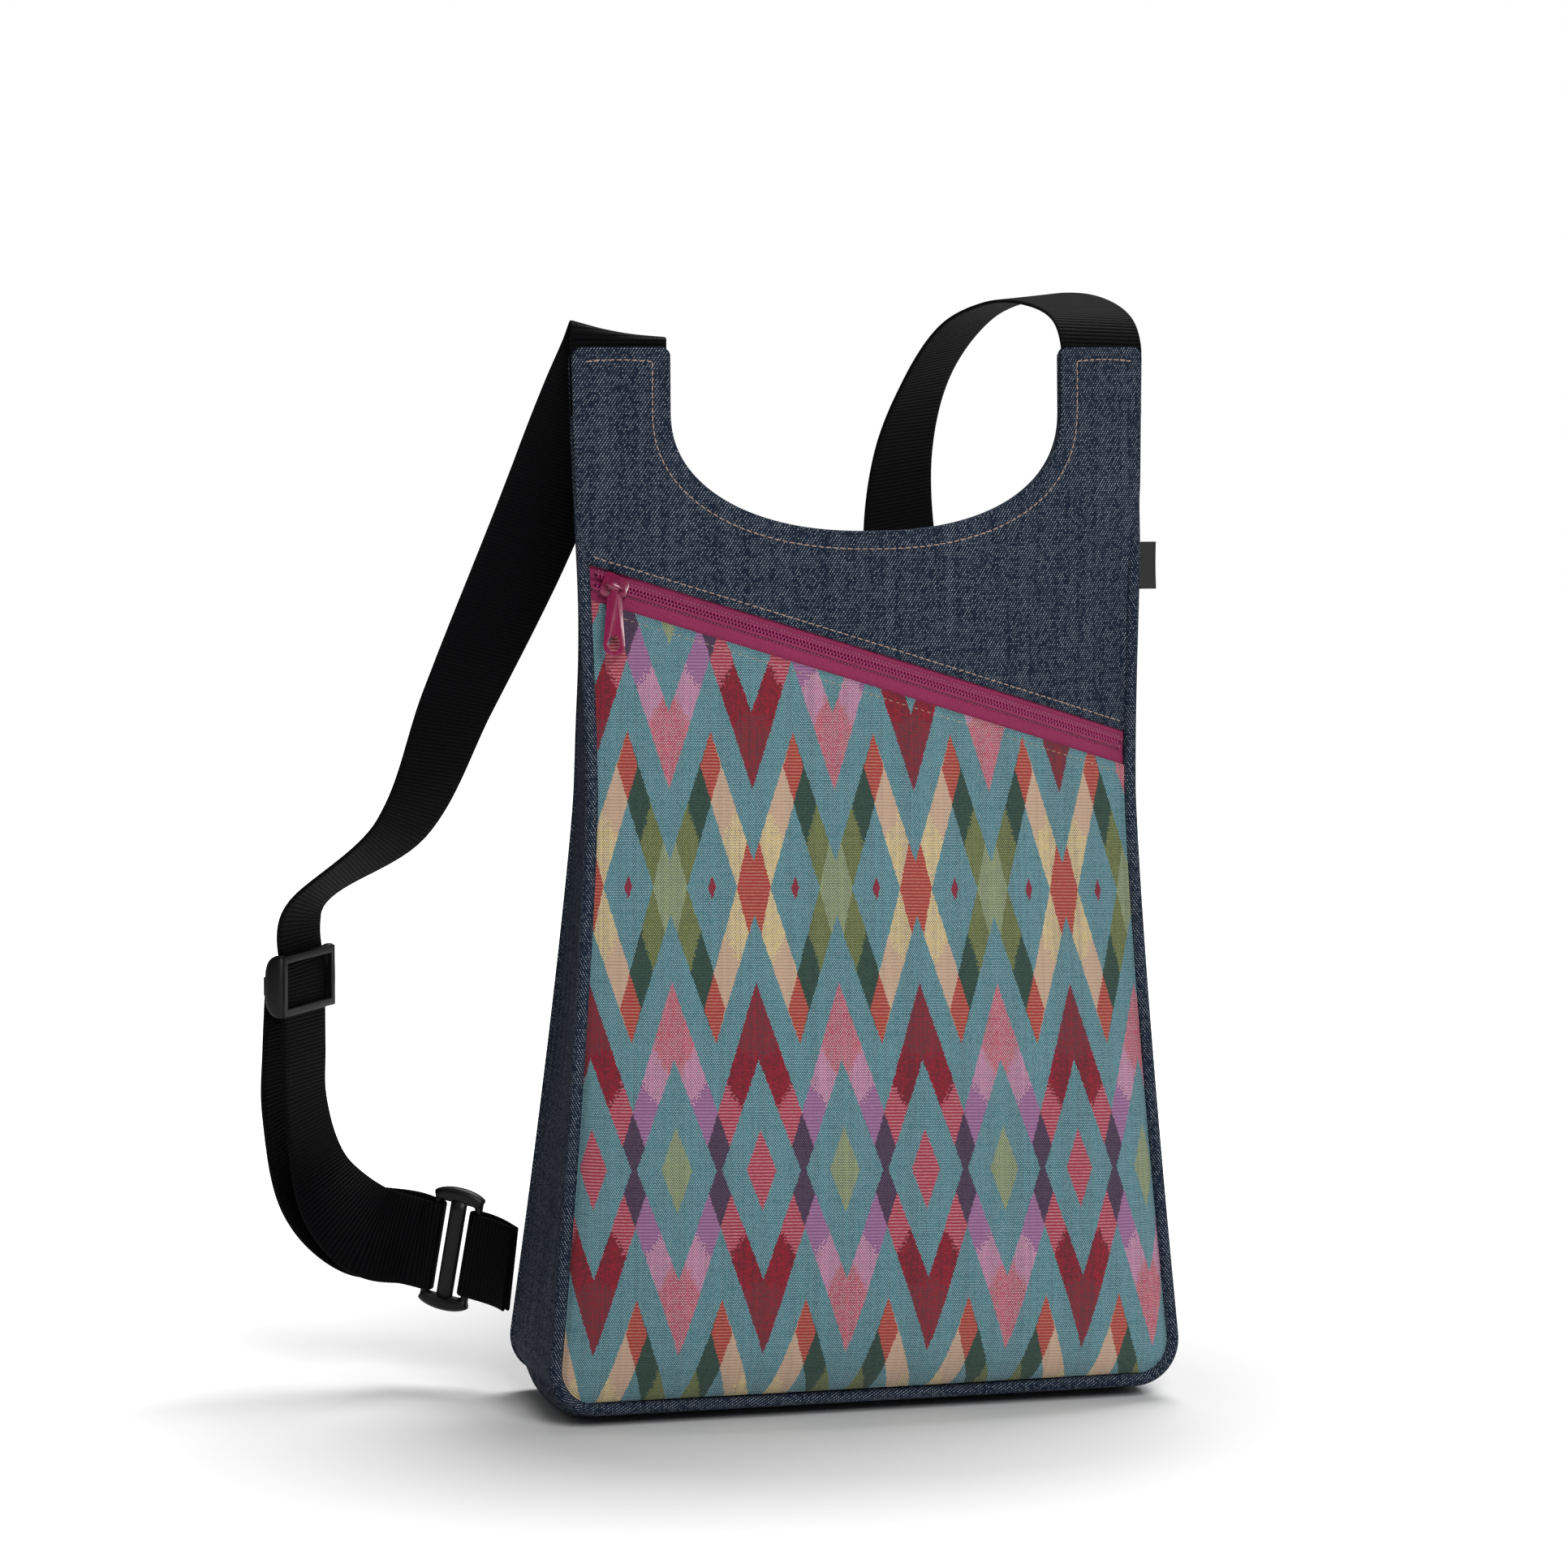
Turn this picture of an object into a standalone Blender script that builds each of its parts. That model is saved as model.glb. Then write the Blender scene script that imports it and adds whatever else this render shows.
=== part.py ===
"""Vest-shaped fabric backpack: patterned lower front, denim yoke with two shoulder
tabs, slanting coil zip, tapering gusset, and two webbing straps with adjusters.

Units are metres. The origin is the centre of the base on the ground, +X is the
viewer's right, -Y is the front and +Z is up.
"""
import math

import bmesh
import bpy
import numpy as np
from mathutils import Matrix, Vector

# Bag body
DEPTH = 0.090
BASE_HALF_WIDTH = 0.1405
WAIST_HALF_WIDTH = 0.1200
SHOULDER_HALF_WIDTH = 0.1248
WAIST_Z = 0.262
TAB_TOP_Z = 0.449
GUSSET_TOP_Z = 0.378
GUSSET_END_Z = 0.334
CORNER_RADIUS = 0.019
SEAM_BASE_Z = 0.0085
LEAN = 0.035
FRONT_SAG = 0.0205
BACK_SAG = 0.008
BOTTOM_TURN = 0.055
FULL_ROUND_Z = 0.100
ZIP_ZONE_LOW_Z = 0.250
FADE_START_Z = 0.335
TAB_SAG_LOSS = 0.10

# Neck opening between the tabs
NECK_HALF_WIDTH = 0.0845
NECK_STRAIGHT = 0.026
NECK_BOWL = 0.050
NECK_EXPONENT = 2.3

# Cloth and piping
CLOTH = 0.0012
GAP = 0.0003
EDGE_GAP = 0.0062
PIPING_RADIUS = 0.00275
PIPING_TOP_Z = 0.368
BACK_MARGIN = 0.0012

# Zip
ZIP_MID_Z = 0.317
ZIP_SLOPE = 0.315
ZIP_UPPER_MARGIN = 0.0059
ZIP_LOWER_MARGIN = 0.0088
ZIP_STOP_MARGIN = 0.0130
ZIP_STOP_X = WAIST_HALF_WIDTH - ZIP_STOP_MARGIN
TAPE_SEAM = 0.009
TAPE_THICKNESS = 0.0007
TAPE_EDGE = 0.0011
TEETH_PITCH = 0.0030
TEETH_END_MARGIN = 0.0085
TEETH_END_X = WAIST_HALF_WIDTH - TEETH_END_MARGIN
TEETH_HEIGHT = 0.0022
SPINE_INNER = 0.0011
SPINE_OUTER = 0.0023
TOOTH_REACH = 0.0008

# Zip slider and pull
SLIDER_LENGTH = 0.0110
SLIDER_PLATE = 0.0011
SLIDER_CLEARANCE = 0.0004
SLIDER_FLANGE = 0.0008
SLIDER_POST = 0.0010
BRIDGE_RADIUS = 0.0008
BRIDGE_HALF_SPAN = 0.0034
BRIDGE_RISE = 0.0026
PULL_LENGTH = 0.029
PULL_TOP_WIDTH = 0.006
PULL_END_WIDTH = 0.009
PULL_THICKNESS = 0.0014
PULL_EYE_LENGTH = 0.0044
PULL_TILT_DEG = 6.0

# Webbing and its plastic fittings
WEB_WIDTH = 0.040
WEB_THICKNESS = 0.0016
WEB_IN_TAB = 0.028
RIDGE_HEIGHT = 0.0015
RIDGE_RADIUS = 0.0030
FITTING_WALL = 0.0034
FITTING_MARGIN = 0.0010
FITTING_BAR = 0.0032
FITTING_SLOT = 0.0060
FITTING_BEVEL = 0.0011
ADJUSTER_BAR = 0.0020
ADJUSTER_HALF_LENGTH = 0.013

# Woven tab in the right-hand seam
LABEL_WIDTH = 0.0095
LABEL_HEIGHT = 0.020
LABEL_Z = 0.3565
LABEL_SHEET = 0.00032

# Colours: base colour, roughness, metallic
FINISHES = {
    "denim": ((0.024, 0.042, 0.066, 1.0), 0.90, 0.0),
    "jacquard": ((0.160, 0.370, 0.370, 1.0), 0.85, 0.0),
    "zip_tape": ((0.300, 0.004, 0.090, 1.0), 0.80, 0.0),
    "zip_metal": ((0.160, 0.002, 0.035, 1.0), 0.25, 0.6),
    "webbing": ((0.008, 0.008, 0.009, 1.0), 0.75, 0.0),
    "plastic": ((0.010, 0.010, 0.011, 1.0), 0.40, 0.0),
}

# Derived zip geometry: the zip direction and the direction across it
ZIP_ANGLE = math.atan(ZIP_SLOPE)
ZIP_ALONG = np.array([math.cos(ZIP_ANGLE), 0.0, -math.sin(ZIP_ANGLE)])
ZIP_ACROSS = np.array([math.sin(ZIP_ANGLE), 0.0, math.cos(ZIP_ANGLE)])
PANEL_INSET = PIPING_RADIUS + GAP
FITTING_INNER = WEB_WIDTH / 2 + FITTING_MARGIN
FITTING_OUTER = FITTING_INNER + FITTING_WALL
WRAP_RADIUS = FITTING_BAR / 2 + 2 * GAP + WEB_THICKNESS / 2


def remove_start_objects():
    """Remove whatever the new file holds."""
    for item in list(bpy.data.objects):
        bpy.data.objects.remove(item, do_unlink=True)


def material(slot):
    """Return the Principled material of a named finish, made once."""
    if slot in bpy.data.materials:
        return bpy.data.materials[slot]
    colour, roughness, metallic = FINISHES[slot]
    made = bpy.data.materials.new(slot)
    made.use_nodes = True
    shader = made.node_tree.nodes["Principled BSDF"]
    shader.inputs["Base Color"].default_value = colour
    shader.inputs["Roughness"].default_value = roughness
    shader.inputs["Metallic"].default_value = metallic
    return made


def add_object(name, mesh, slot, smooth=True):
    """Link a mesh as a named object with its finish."""
    item = bpy.data.objects.new(name, mesh)
    bpy.context.scene.collection.objects.link(item)
    mesh.materials.append(material(slot))
    if smooth:
        mesh.shade_smooth()
        mesh.set_sharp_from_angle(angle=math.radians(40.0))
    return item


def closed_mesh(name, vertices, faces):
    """Make a mesh whose faces all point out of the closed body."""
    mesh = bpy.data.meshes.new(name)
    mesh.from_pydata([tuple(v) for v in vertices], [], faces)
    work = bmesh.new()
    work.from_mesh(mesh)
    bmesh.ops.recalc_face_normals(work, faces=work.faces)
    work.to_mesh(mesh)
    work.free()
    return mesh


def grid_faces(rows, columns, closed_columns=False):
    """Quads of a grid of rows by columns of points, by vertex index."""
    faces = []
    last = columns if closed_columns else columns - 1
    for row in range(rows - 1):
        for column in range(last):
            beside = (column + 1) % columns
            low = row * columns
            high = low + columns
            faces.append((low + column, low + beside, high + beside, high + column))
    return faces


def sheet(name, points, slot, thickness, outward):
    """Cloth sheet: a grid of outer points, thickened away from the outward side."""
    rows, columns = points.shape[:2]
    mesh = bpy.data.meshes.new(name)
    mesh.from_pydata(points.reshape(-1, 3).tolist(), [], grid_faces(rows, columns))
    centre = points[rows // 2, columns // 2]
    across = points[rows // 2, min(columns // 2 + 1, columns - 1)] - centre
    along = points[min(rows // 2 + 1, rows - 1), columns // 2] - centre
    if np.dot(np.cross(across, along), outward) < 0.0:
        mesh.flip_normals()
    item = add_object(name, mesh, slot)
    skin = item.modifiers.new("cloth thickness", "SOLIDIFY")
    skin.thickness = thickness
    skin.offset = -1.0
    skin.use_even_offset = False
    return item


def smoothstep(low, high, value):
    """Smooth ramp from 0 at low to 1 at high."""
    t = np.clip((value - low) / (high - low), 0.0, 1.0)
    return t * t * (3.0 - 2.0 * t)


def side_half(z):
    """Half width of the bag's outline at height z, outside the piping."""
    low = np.clip(1.0 - z / WAIST_Z, 0.0, 1.0) ** 1.25
    high = smoothstep(WAIST_Z, TAB_TOP_Z, z)
    flare_low = (BASE_HALF_WIDTH - WAIST_HALF_WIDTH) * low
    flare_high = (SHOULDER_HALF_WIDTH - WAIST_HALF_WIDTH) * high
    return WAIST_HALF_WIDTH + flare_low + flare_high


def seam_half(z, inset=0.0):
    """Half width of the seam line at height z, moved inwards by inset."""
    radius = CORNER_RADIUS - inset
    height = np.clip(z - SEAM_BASE_Z - inset, 0.0, radius)
    corner = radius - np.sqrt(np.maximum(radius**2 - (radius - height) ** 2, 0.0))
    return side_half(z) - PIPING_RADIUS - inset - corner


def seam_y(z):
    """Depth of the front seam line at height z."""
    return -DEPTH / 2 + LEAN * z


def arch(x, z, inset=PANEL_INSET, fullness=0.40):
    """Rounding of a panel across its width: 1 in the middle, 0 at the seam."""
    half = np.maximum(seam_half(z, inset), 0.001)
    radius = (WAIST_HALF_WIDTH**2 + FRONT_SAG**2) / (2.0 * FRONT_SAG)
    share = np.clip(np.abs(x) / half, 0.0, 1.0) * WAIST_HALF_WIDTH
    low = math.sqrt(radius**2 - WAIST_HALF_WIDTH**2)
    circle = (np.sqrt(radius**2 - share**2) - low) / (radius - low)
    power = 1.0 - fullness * (1.0 - smoothstep(FULL_ROUND_Z, ZIP_ZONE_LOW_Z, z))
    return np.maximum(circle, 0.0) ** power


def front_y(x, z):
    """Depth of the outer face of the front cloth."""
    foot = SEAM_BASE_Z + PANEL_INSET
    rise = np.clip((z - foot) / BOTTOM_TURN, 0.0, 1.0)
    level = (1.0 - (1.0 - rise) ** 2.6) ** 0.60
    level = level * (1.0 + 0.22 * (1.0 - smoothstep(FULL_ROUND_Z, ZIP_ZONE_LOW_Z, z)))
    level = level * (1.0 - TAB_SAG_LOSS * smoothstep(FADE_START_Z, TAB_TOP_Z, z))
    free_edge = smoothstep(PIPING_TOP_Z, PIPING_TOP_Z + 0.020, z)
    inset = PANEL_INSET - (PANEL_INSET + PIPING_RADIUS - BACK_MARGIN) * free_edge
    return seam_y(z) - CLOTH / 2 - FRONT_SAG * level * arch(x, z, inset)


def neck_bottom_z():
    """Height of the lowest point of the neck opening."""
    return TAB_TOP_Z - NECK_STRAIGHT - NECK_BOWL


def back_y(x, z):
    """Depth of the outer face of the back cloth, which meets the front at the neck."""
    width = DEPTH * np.clip(1.0 - z / GUSSET_TOP_Z, 0.0, 1.0)
    foot = np.clip((z - SEAM_BASE_Z) / BOTTOM_TURN, 0.0, 1.0)
    swell = BACK_SAG * np.sqrt(foot) * arch(x, z, 2 * PANEL_INSET, 0.0)
    full = seam_y(z) + width + CLOTH / 2 + swell
    joined = front_y(x, z) + EDGE_GAP
    share = smoothstep(0.285, neck_bottom_z() - 0.002, z)
    return np.maximum(full * (1.0 - share) + joined * share, joined)


def zip_z(x, across=0.0):
    """Height of the line that runs along the zip at a distance across it."""
    return ZIP_MID_Z - ZIP_SLOPE * x + across / math.cos(ZIP_ANGLE)


def circle_through(points):
    """Centre and radius of the circle through three points of a plane."""
    (ax, ay), (bx, by), (cx, cy) = points
    twice = 2.0 * (ax * (by - cy) + bx * (cy - ay) + cx * (ay - by))
    a2, b2, c2 = ax**2 + ay**2, bx**2 + by**2, cx**2 + cy**2
    ux = (a2 * (by - cy) + b2 * (cy - ay) + c2 * (ay - by)) / twice
    uy = (a2 * (cx - bx) + b2 * (ax - cx) + c2 * (bx - ax)) / twice
    return ux, uy, math.hypot(ax - ux, ay - uy)


def zip_circle():
    """Circle of the teeth line in the plane of the zip direction and Y."""
    places = []
    for x in (-ZIP_STOP_X, 0.0, ZIP_STOP_X):
        depth = float(front_y(np.array(x), np.array(zip_z(x))))
        places.append((x / math.cos(ZIP_ANGLE), depth))
    return circle_through(places)


CIRCLE_S, CIRCLE_Y, CIRCLE_RADIUS = zip_circle()
ZIP_ORIGIN = np.array([0.0, 0.0, ZIP_MID_Z])
ZIP_CENTRE = ZIP_ORIGIN + ZIP_ALONG * CIRCLE_S + np.array([0.0, CIRCLE_Y, 0.0])


def zip_angle_at(x):
    """Angle round the zip's axis of the place where the teeth line has this x."""
    return math.asin((x / math.cos(ZIP_ANGLE) - CIRCLE_S) / CIRCLE_RADIUS)


def zip_point(angle, across, depth):
    """Point of the zip, by angle round its axis, distance across and depth inwards."""
    angle = np.asarray(angle, dtype=float)[..., None]
    across = np.asarray(across, dtype=float)[..., None]
    reach = CIRCLE_RADIUS - np.asarray(depth, dtype=float)[..., None]
    radial = ZIP_ALONG * np.sin(angle) - np.array([0.0, 1.0, 0.0]) * np.cos(angle)
    return ZIP_CENTRE + radial * reach + ZIP_ACROSS * across


def outline_path(inset, top_z, side_points=16, corner_points=6, base_points=11):
    """Seam outline from the left top, round the base, to the right top, as x and z."""
    radius = CORNER_RADIUS - inset
    base = SEAM_BASE_Z + inset
    side_z = np.linspace(top_z, base + radius, side_points)
    turn = np.linspace(0.0, math.pi / 2, corner_points + 1)[1:]
    corner_z = base + radius * (1.0 - np.sin(turn))
    left_z = np.concatenate([side_z, corner_z])
    left_x = -seam_half(left_z, inset)
    base_x = np.linspace(left_x[-1], -left_x[-1], base_points)[1:-1]
    x = np.concatenate([left_x, base_x, -left_x[::-1]])
    z = np.concatenate([left_z, np.full(base_x.shape, base), left_z[::-1]])
    return x, z


def neck_path(count, inset=0.0):
    """Neck edge from the left tab's top, down and up to the right tab's top."""
    half = NECK_HALF_WIDTH + inset
    straight = np.linspace(0.0, NECK_STRAIGHT, 5)[:-1]
    turn = np.linspace(0.0, math.pi / 2, count)
    bowl_x = half * np.cos(turn) ** (2.0 / NECK_EXPONENT)
    bowl_z = (NECK_BOWL + inset) * np.sin(turn) ** (2.0 / NECK_EXPONENT)
    x = np.concatenate([np.full(straight.shape, half), bowl_x])
    z = TAB_TOP_Z - np.concatenate([straight, NECK_STRAIGHT + bowl_z])
    return np.concatenate([-x, x[::-1][1:]]), np.concatenate([z, z[::-1][1:]])


def resample(x, z, marks):
    """Points of a polyline at given shares of its length."""
    step = np.hypot(np.diff(x), np.diff(z))
    length = np.concatenate([[0.0], np.cumsum(step)])
    places = np.asarray(marks) * length[-1]
    return np.interp(places, length, x), np.interp(places, length, z)


def fan(outer, inner, across):
    """Grid of x and z between an outer and an inner edge with as many points each."""
    share = across[:, None]
    x = outer[0][None, :] * (1.0 - share) + inner[0][None, :] * share
    z = outer[1][None, :] * (1.0 - share) + inner[1][None, :] * share
    return x, z


def stack(x, y, z):
    """Join coordinate grids into a grid of points."""
    return np.stack(np.broadcast_arrays(x, y, z), axis=-1)


def make_front_panel():
    """Patterned lower front, from the base seam up to the fold below the zip."""
    columns = np.sin(np.linspace(-math.pi / 2, math.pi / 2, 25) * 0.92)
    columns = columns / columns[-1]
    rows = np.linspace(0.0, 1.0, 20) ** 1.5
    share, place = np.meshgrid(rows, columns, indexing="ij")
    foot = SEAM_BASE_Z + PANEL_INSET
    z = foot + (zip_z(0.0, -ZIP_LOWER_MARGIN) - foot) * share
    for _ in range(8):
        x = place * seam_half(z, PANEL_INSET)
        z = foot + (zip_z(x, -ZIP_LOWER_MARGIN) - foot) * share
    points = stack(x, front_y(x, z), z)
    return sheet("front_panel", points, "jacquard", CLOTH, (0.0, -1.0, 0.0))


def yoke_edge_half(z):
    """Half width of the yoke: inside the piping, and full width above it."""
    above = smoothstep(PIPING_TOP_Z + 0.001, PIPING_TOP_Z + 0.004, z)
    inside = seam_half(z, PANEL_INSET)
    return inside * (1.0 - above) + (side_half(z) - BACK_MARGIN) * above


def fold_corner_x(sign, across):
    """Where a line along the zip meets the yoke's side edge."""
    x = sign * WAIST_HALF_WIDTH
    for _ in range(12):
        x = sign * float(seam_half(np.array(zip_z(x, across)), PANEL_INSET))
    return x


def tab_side(sign, low_z, count):
    """Outer edge of a tab, from its rounded top corner down to a height."""
    round_corner = 0.004
    turn = np.linspace(0.0, math.pi / 2, 4)
    top = float(yoke_edge_half(np.array(TAB_TOP_Z)))
    corner_x = top - round_corner * (1.0 - np.sin(turn))
    corner_z = TAB_TOP_Z - round_corner * (1.0 - np.cos(turn))
    above = np.linspace(TAB_TOP_Z - round_corner, PIPING_TOP_Z + 0.004, 8)[1:]
    z = np.concatenate([above, np.linspace(PIPING_TOP_Z + 0.001, low_z, count)])
    x = np.concatenate([corner_x, yoke_edge_half(z)])
    return sign * x, np.concatenate([corner_z, z])


def make_front_yoke():
    """Denim yoke with two tabs, from the fold above the zip to the neck edge."""
    left_x = fold_corner_x(-1.0, ZIP_UPPER_MARGIN)
    right_x = fold_corner_x(1.0, ZIP_UPPER_MARGIN)
    left = tab_side(-1.0, zip_z(left_x, ZIP_UPPER_MARGIN), 2)
    right = tab_side(1.0, zip_z(right_x, ZIP_UPPER_MARGIN), 9)
    fold_x = np.linspace(left[0][-1], right[0][-1], 23)[1:-1]
    outer_x = np.concatenate([left[0], fold_x, right[0][::-1]])
    outer_z = np.concatenate([left[1], zip_z(fold_x, ZIP_UPPER_MARGIN), right[1][::-1]])
    counts = (len(left[0]), len(fold_x), len(right[0]))
    marks = np.concatenate([
        np.linspace(0.0, 0.30, counts[0]),
        np.linspace(0.30, 0.66, counts[1] + 2)[1:-1],
        np.linspace(0.66, 1.0, counts[2]),
    ])
    inner = resample(*neck_path(24), marks)
    across = np.linspace(0.0, 1.0, 7)
    x, z = fan((outer_x, outer_z), inner, across)
    points = stack(x, front_y(x, z), z)
    return sheet("front_yoke", points, "denim", CLOTH, (0.0, -1.0, 0.0))


def make_back_panel():
    """One denim back, from the base seam to the neck and the tops of the tabs."""
    inset = BACK_MARGIN - PIPING_RADIUS
    low_x, low_z = outline_path(inset, TAB_TOP_Z - 0.004, 15, 5, 9)
    marks_low = np.linspace(0.02, 0.98, len(low_x))
    outer_x = np.concatenate([[low_x[0] + 0.004], low_x, [low_x[-1] - 0.004]])
    outer_z = np.concatenate([[TAB_TOP_Z], low_z, [TAB_TOP_Z]])
    marks = np.concatenate([[0.0], marks_low, [1.0]])
    inner = resample(*neck_path(24), marks)
    across = np.concatenate([[0.0, 0.03, 0.08], np.linspace(0.17, 1.0, 7)])
    x, z = fan((outer_x, outer_z), inner, across)
    points = stack(x, back_y(x, z), z)
    return sheet("back_panel", points, "denim", CLOTH, (0.0, 1.0, 0.0))


def make_gusset():
    """Tapering band of denim up the left side, under the base and up the right."""
    x, z = outline_path(-CLOTH / 2, GUSSET_END_Z, 14, 6, 7)
    step_x, step_z = np.gradient(x), np.gradient(z)
    length = np.hypot(step_x, step_z)
    out_x, out_z = step_z / length, -step_x / length
    across = np.array([0.0, 0.06, 0.16, 0.34, 0.66, 0.84, 0.94, 1.0])
    share, _ = np.meshgrid(across, x, indexing="ij")
    start = seam_y(z) + PANEL_INSET
    end = back_y(seam_half(z), z) - CLOTH - 3 * GAP
    y = start[None, :] * (1.0 - share) + end[None, :] * share
    base_drop = SEAM_BASE_Z - CLOTH / 2
    side_swell = 0.0035 * smoothstep(0.25, 0.31, z) - 0.0030 * np.exp(-(((z - 0.16) / 0.06) ** 2))
    narrow = np.clip((end - start) / 0.030, 0.0, 1.0)
    drop = base_drop * smoothstep(0.6, 1.0, -out_z) + side_swell * narrow**2
    swell = drop[None, :] * (1.0 - np.abs(2.0 * share - 1.0) ** 3.5)
    points = stack(x + out_x * swell, y, z + out_z * swell)
    return sheet("gusset", points, "denim", CLOTH, (0.0, 0.0, -1.0))


def tube(name, path, radius, slot, sides=8):
    """Round cord along a path of points, with capped ends."""
    path = np.asarray(path)
    along = np.gradient(path, axis=0)
    along /= np.linalg.norm(along, axis=1, keepdims=True)
    side = np.cross(along, np.array([0.0, 1.0, 0.0]))
    side /= np.linalg.norm(side, axis=1, keepdims=True)
    up = np.cross(side, along)
    turn = np.arange(sides) * 2.0 * math.pi / sides
    ring = side[:, None] * np.cos(turn)[None, :, None] + up[:, None] * np.sin(turn)[None, :, None]
    points = path[:, None] + ring * radius
    faces = grid_faces(len(path), sides, closed_columns=True)
    last = (len(path) - 1) * sides
    faces.append(tuple(range(sides)))
    faces.append(tuple(last + i for i in range(sides)))
    mesh = closed_mesh(name, points.reshape(-1, 3), faces)
    return add_object(name, mesh, slot)


def make_piping():
    """Denim piping round the front seam, up both sides."""
    x, z = outline_path(0.0, PIPING_TOP_Z, 15, 6, 7)
    return tube("front_piping", stack(x, seam_y(z), z), PIPING_RADIUS, "denim")


def make_zip_tape(name, sign, margin):
    """Half of the zip tape, from beside the teeth to its hidden seam edge."""
    across = sign * np.array([TAPE_EDGE, 0.0042, 0.0055, margin, margin + TAPE_SEAM])
    share = np.linspace(0.0, 1.0, 33)
    clear = PANEL_INSET + GAP
    rows = []
    for offset in across:
        ends = []
        for end in (-1.0, 1.0):
            x = end * WAIST_HALF_WIDTH
            for _ in range(12):
                x = end * float(seam_half(np.array(zip_z(x, offset)), clear))
            ends.append(x)
        s_ends = [(x - offset * math.sin(ZIP_ANGLE)) / math.cos(ZIP_ANGLE) for x in ends]
        s = s_ends[0] + (s_ends[1] - s_ends[0]) * share
        depth = CLOTH + GAP
        angle = np.arcsin((s - CIRCLE_S) / (CIRCLE_RADIUS - depth))
        turned = zip_point(angle, np.full(angle.shape, offset), depth)
        cloth_y = front_y(turned[:, 0], turned[:, 2]) + depth
        blend = float(smoothstep(0.0042, 0.0055, abs(offset)))
        turned[:, 1] = turned[:, 1] * (1.0 - blend) + cloth_y * blend
        rows.append(turned)
    return sheet(name, np.array(rows), "zip_tape", TAPE_THICKNESS, (0.0, -1.0, 0.0))


def parting(angle):
    """How far each half of the teeth stands off the centre line at an angle."""
    centre = zip_angle_at(-ZIP_STOP_X)
    reach = SLIDER_LENGTH / 2 / CIRCLE_RADIUS
    full = TOOTH_REACH + SLIDER_POST / 2 + GAP
    return full * (1.0 - smoothstep(centre - 0.45 * reach, centre + 0.55 * reach, angle))


def make_zip_teeth(name, sign, phase):
    """One comb of coil turns, which mesh with the other comb's turns."""
    start, end = zip_angle_at(-TEETH_END_X), zip_angle_at(TEETH_END_X)
    pitch = TEETH_PITCH / CIRCLE_RADIUS
    tooth = 0.38 * pitch
    count = int((end - start) / pitch) - 1
    first = start + phase * pitch
    edges = [first - 0.2 * pitch]
    for number in range(count):
        edges += [first + number * pitch, first + number * pitch + tooth]
    edges.append(edges[-1] + 0.2 * pitch)
    edges = np.array(edges)
    part = parting(edges)
    low = CLOTH
    high = low - TEETH_HEIGHT
    rings = []
    for across in (SPINE_OUTER, SPINE_INNER, -TOOTH_REACH):
        for depth in (high, low):
            rings.append(zip_point(edges, sign * (across + part), depth))
    vertices = np.array(rings).transpose(1, 0, 2)
    size = 6
    faces = [(0, 1, 3, 2)]
    for cell in range(len(edges) - 1):
        a, b = cell * size, (cell + 1) * size
        faces += [(a, b, b + 2, a + 2), (a + 1, a + 3, b + 3, b + 1), (a, a + 1, b + 1, b)]
        if cell % 2 == 1:
            faces += [(a + 2, b + 2, b + 4, a + 4), (a + 3, a + 5, b + 5, b + 3)]
            faces += [(a + 4, b + 4, b + 5, a + 5), (a + 2, a + 4, a + 5, a + 3), (b + 2, b + 3, b + 5, b + 4)]
        else:
            faces.append((a + 2, b + 2, b + 3, a + 3))
    last = (len(edges) - 1) * size
    faces.append((last, last + 2, last + 3, last + 1))
    flat = vertices.reshape(-1, 3)
    used = sorted({index for face in faces for index in face})
    renumber = {old: new for new, old in enumerate(used)}
    faces = [tuple(renumber[index] for index in face) for face in faces]
    mesh = closed_mesh(name, flat[used], faces)
    return add_object(name, mesh, "zip_tape", smooth=False)


def prism(name, outline, low, high):
    """Closed prism over a polygon of two coordinates, between two heights."""
    count = len(outline)
    vertices = [(a, b, low) for a, b in outline] + [(a, b, high) for a, b in outline]
    faces = [tuple(range(count)), tuple(count + i for i in range(count))]
    for i in range(count):
        beside = (i + 1) % count
        faces.append((i, beside, count + beside, count + i))
    return closed_mesh(name, vertices, faces)


def box_mesh(name, low, high):
    """Closed box between two corners."""
    outline = [(low[0], low[1]), (high[0], low[1]), (high[0], high[1]), (low[0], high[1])]
    return prism(name, outline, low[2], high[2])


def combine(item, other_mesh, operation="UNION"):
    """Join or cut an object with a second mesh, which becomes a hidden helper."""
    helper = bpy.data.objects.new(item.name + "_helper", other_mesh)
    bpy.context.scene.collection.objects.link(helper)
    helper.matrix_world = item.matrix_world
    helper.hide_render = True
    helper.display_type = "WIRE"
    cut = item.modifiers.new(operation.lower(), "BOOLEAN")
    cut.operation = operation
    cut.object = helper
    cut.solver = "EXACT"
    return helper


def frame_matrix(origin, x_axis, y_axis, z_axis):
    """Placement whose axes are three perpendicular directions."""
    matrix = Matrix.Identity(4)
    for column, axis in enumerate((x_axis, y_axis, z_axis, origin)):
        for row in range(3):
            matrix[row][column] = float(axis[row])
    return matrix


def slider_outline(tail_half, nose_half):
    """Shield shape of the slider's plates: wide at the nose, narrow at the tail."""
    half = SLIDER_LENGTH / 2
    turn = 0.0012
    right = [(-half, nose_half - turn), (-half + turn, nose_half), (-0.35 * half, nose_half)]
    right += [(0.6 * half, tail_half), (half - turn, tail_half), (half, tail_half - turn)]
    return [(a, -b) for a, b in right] + list(reversed(right))


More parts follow.
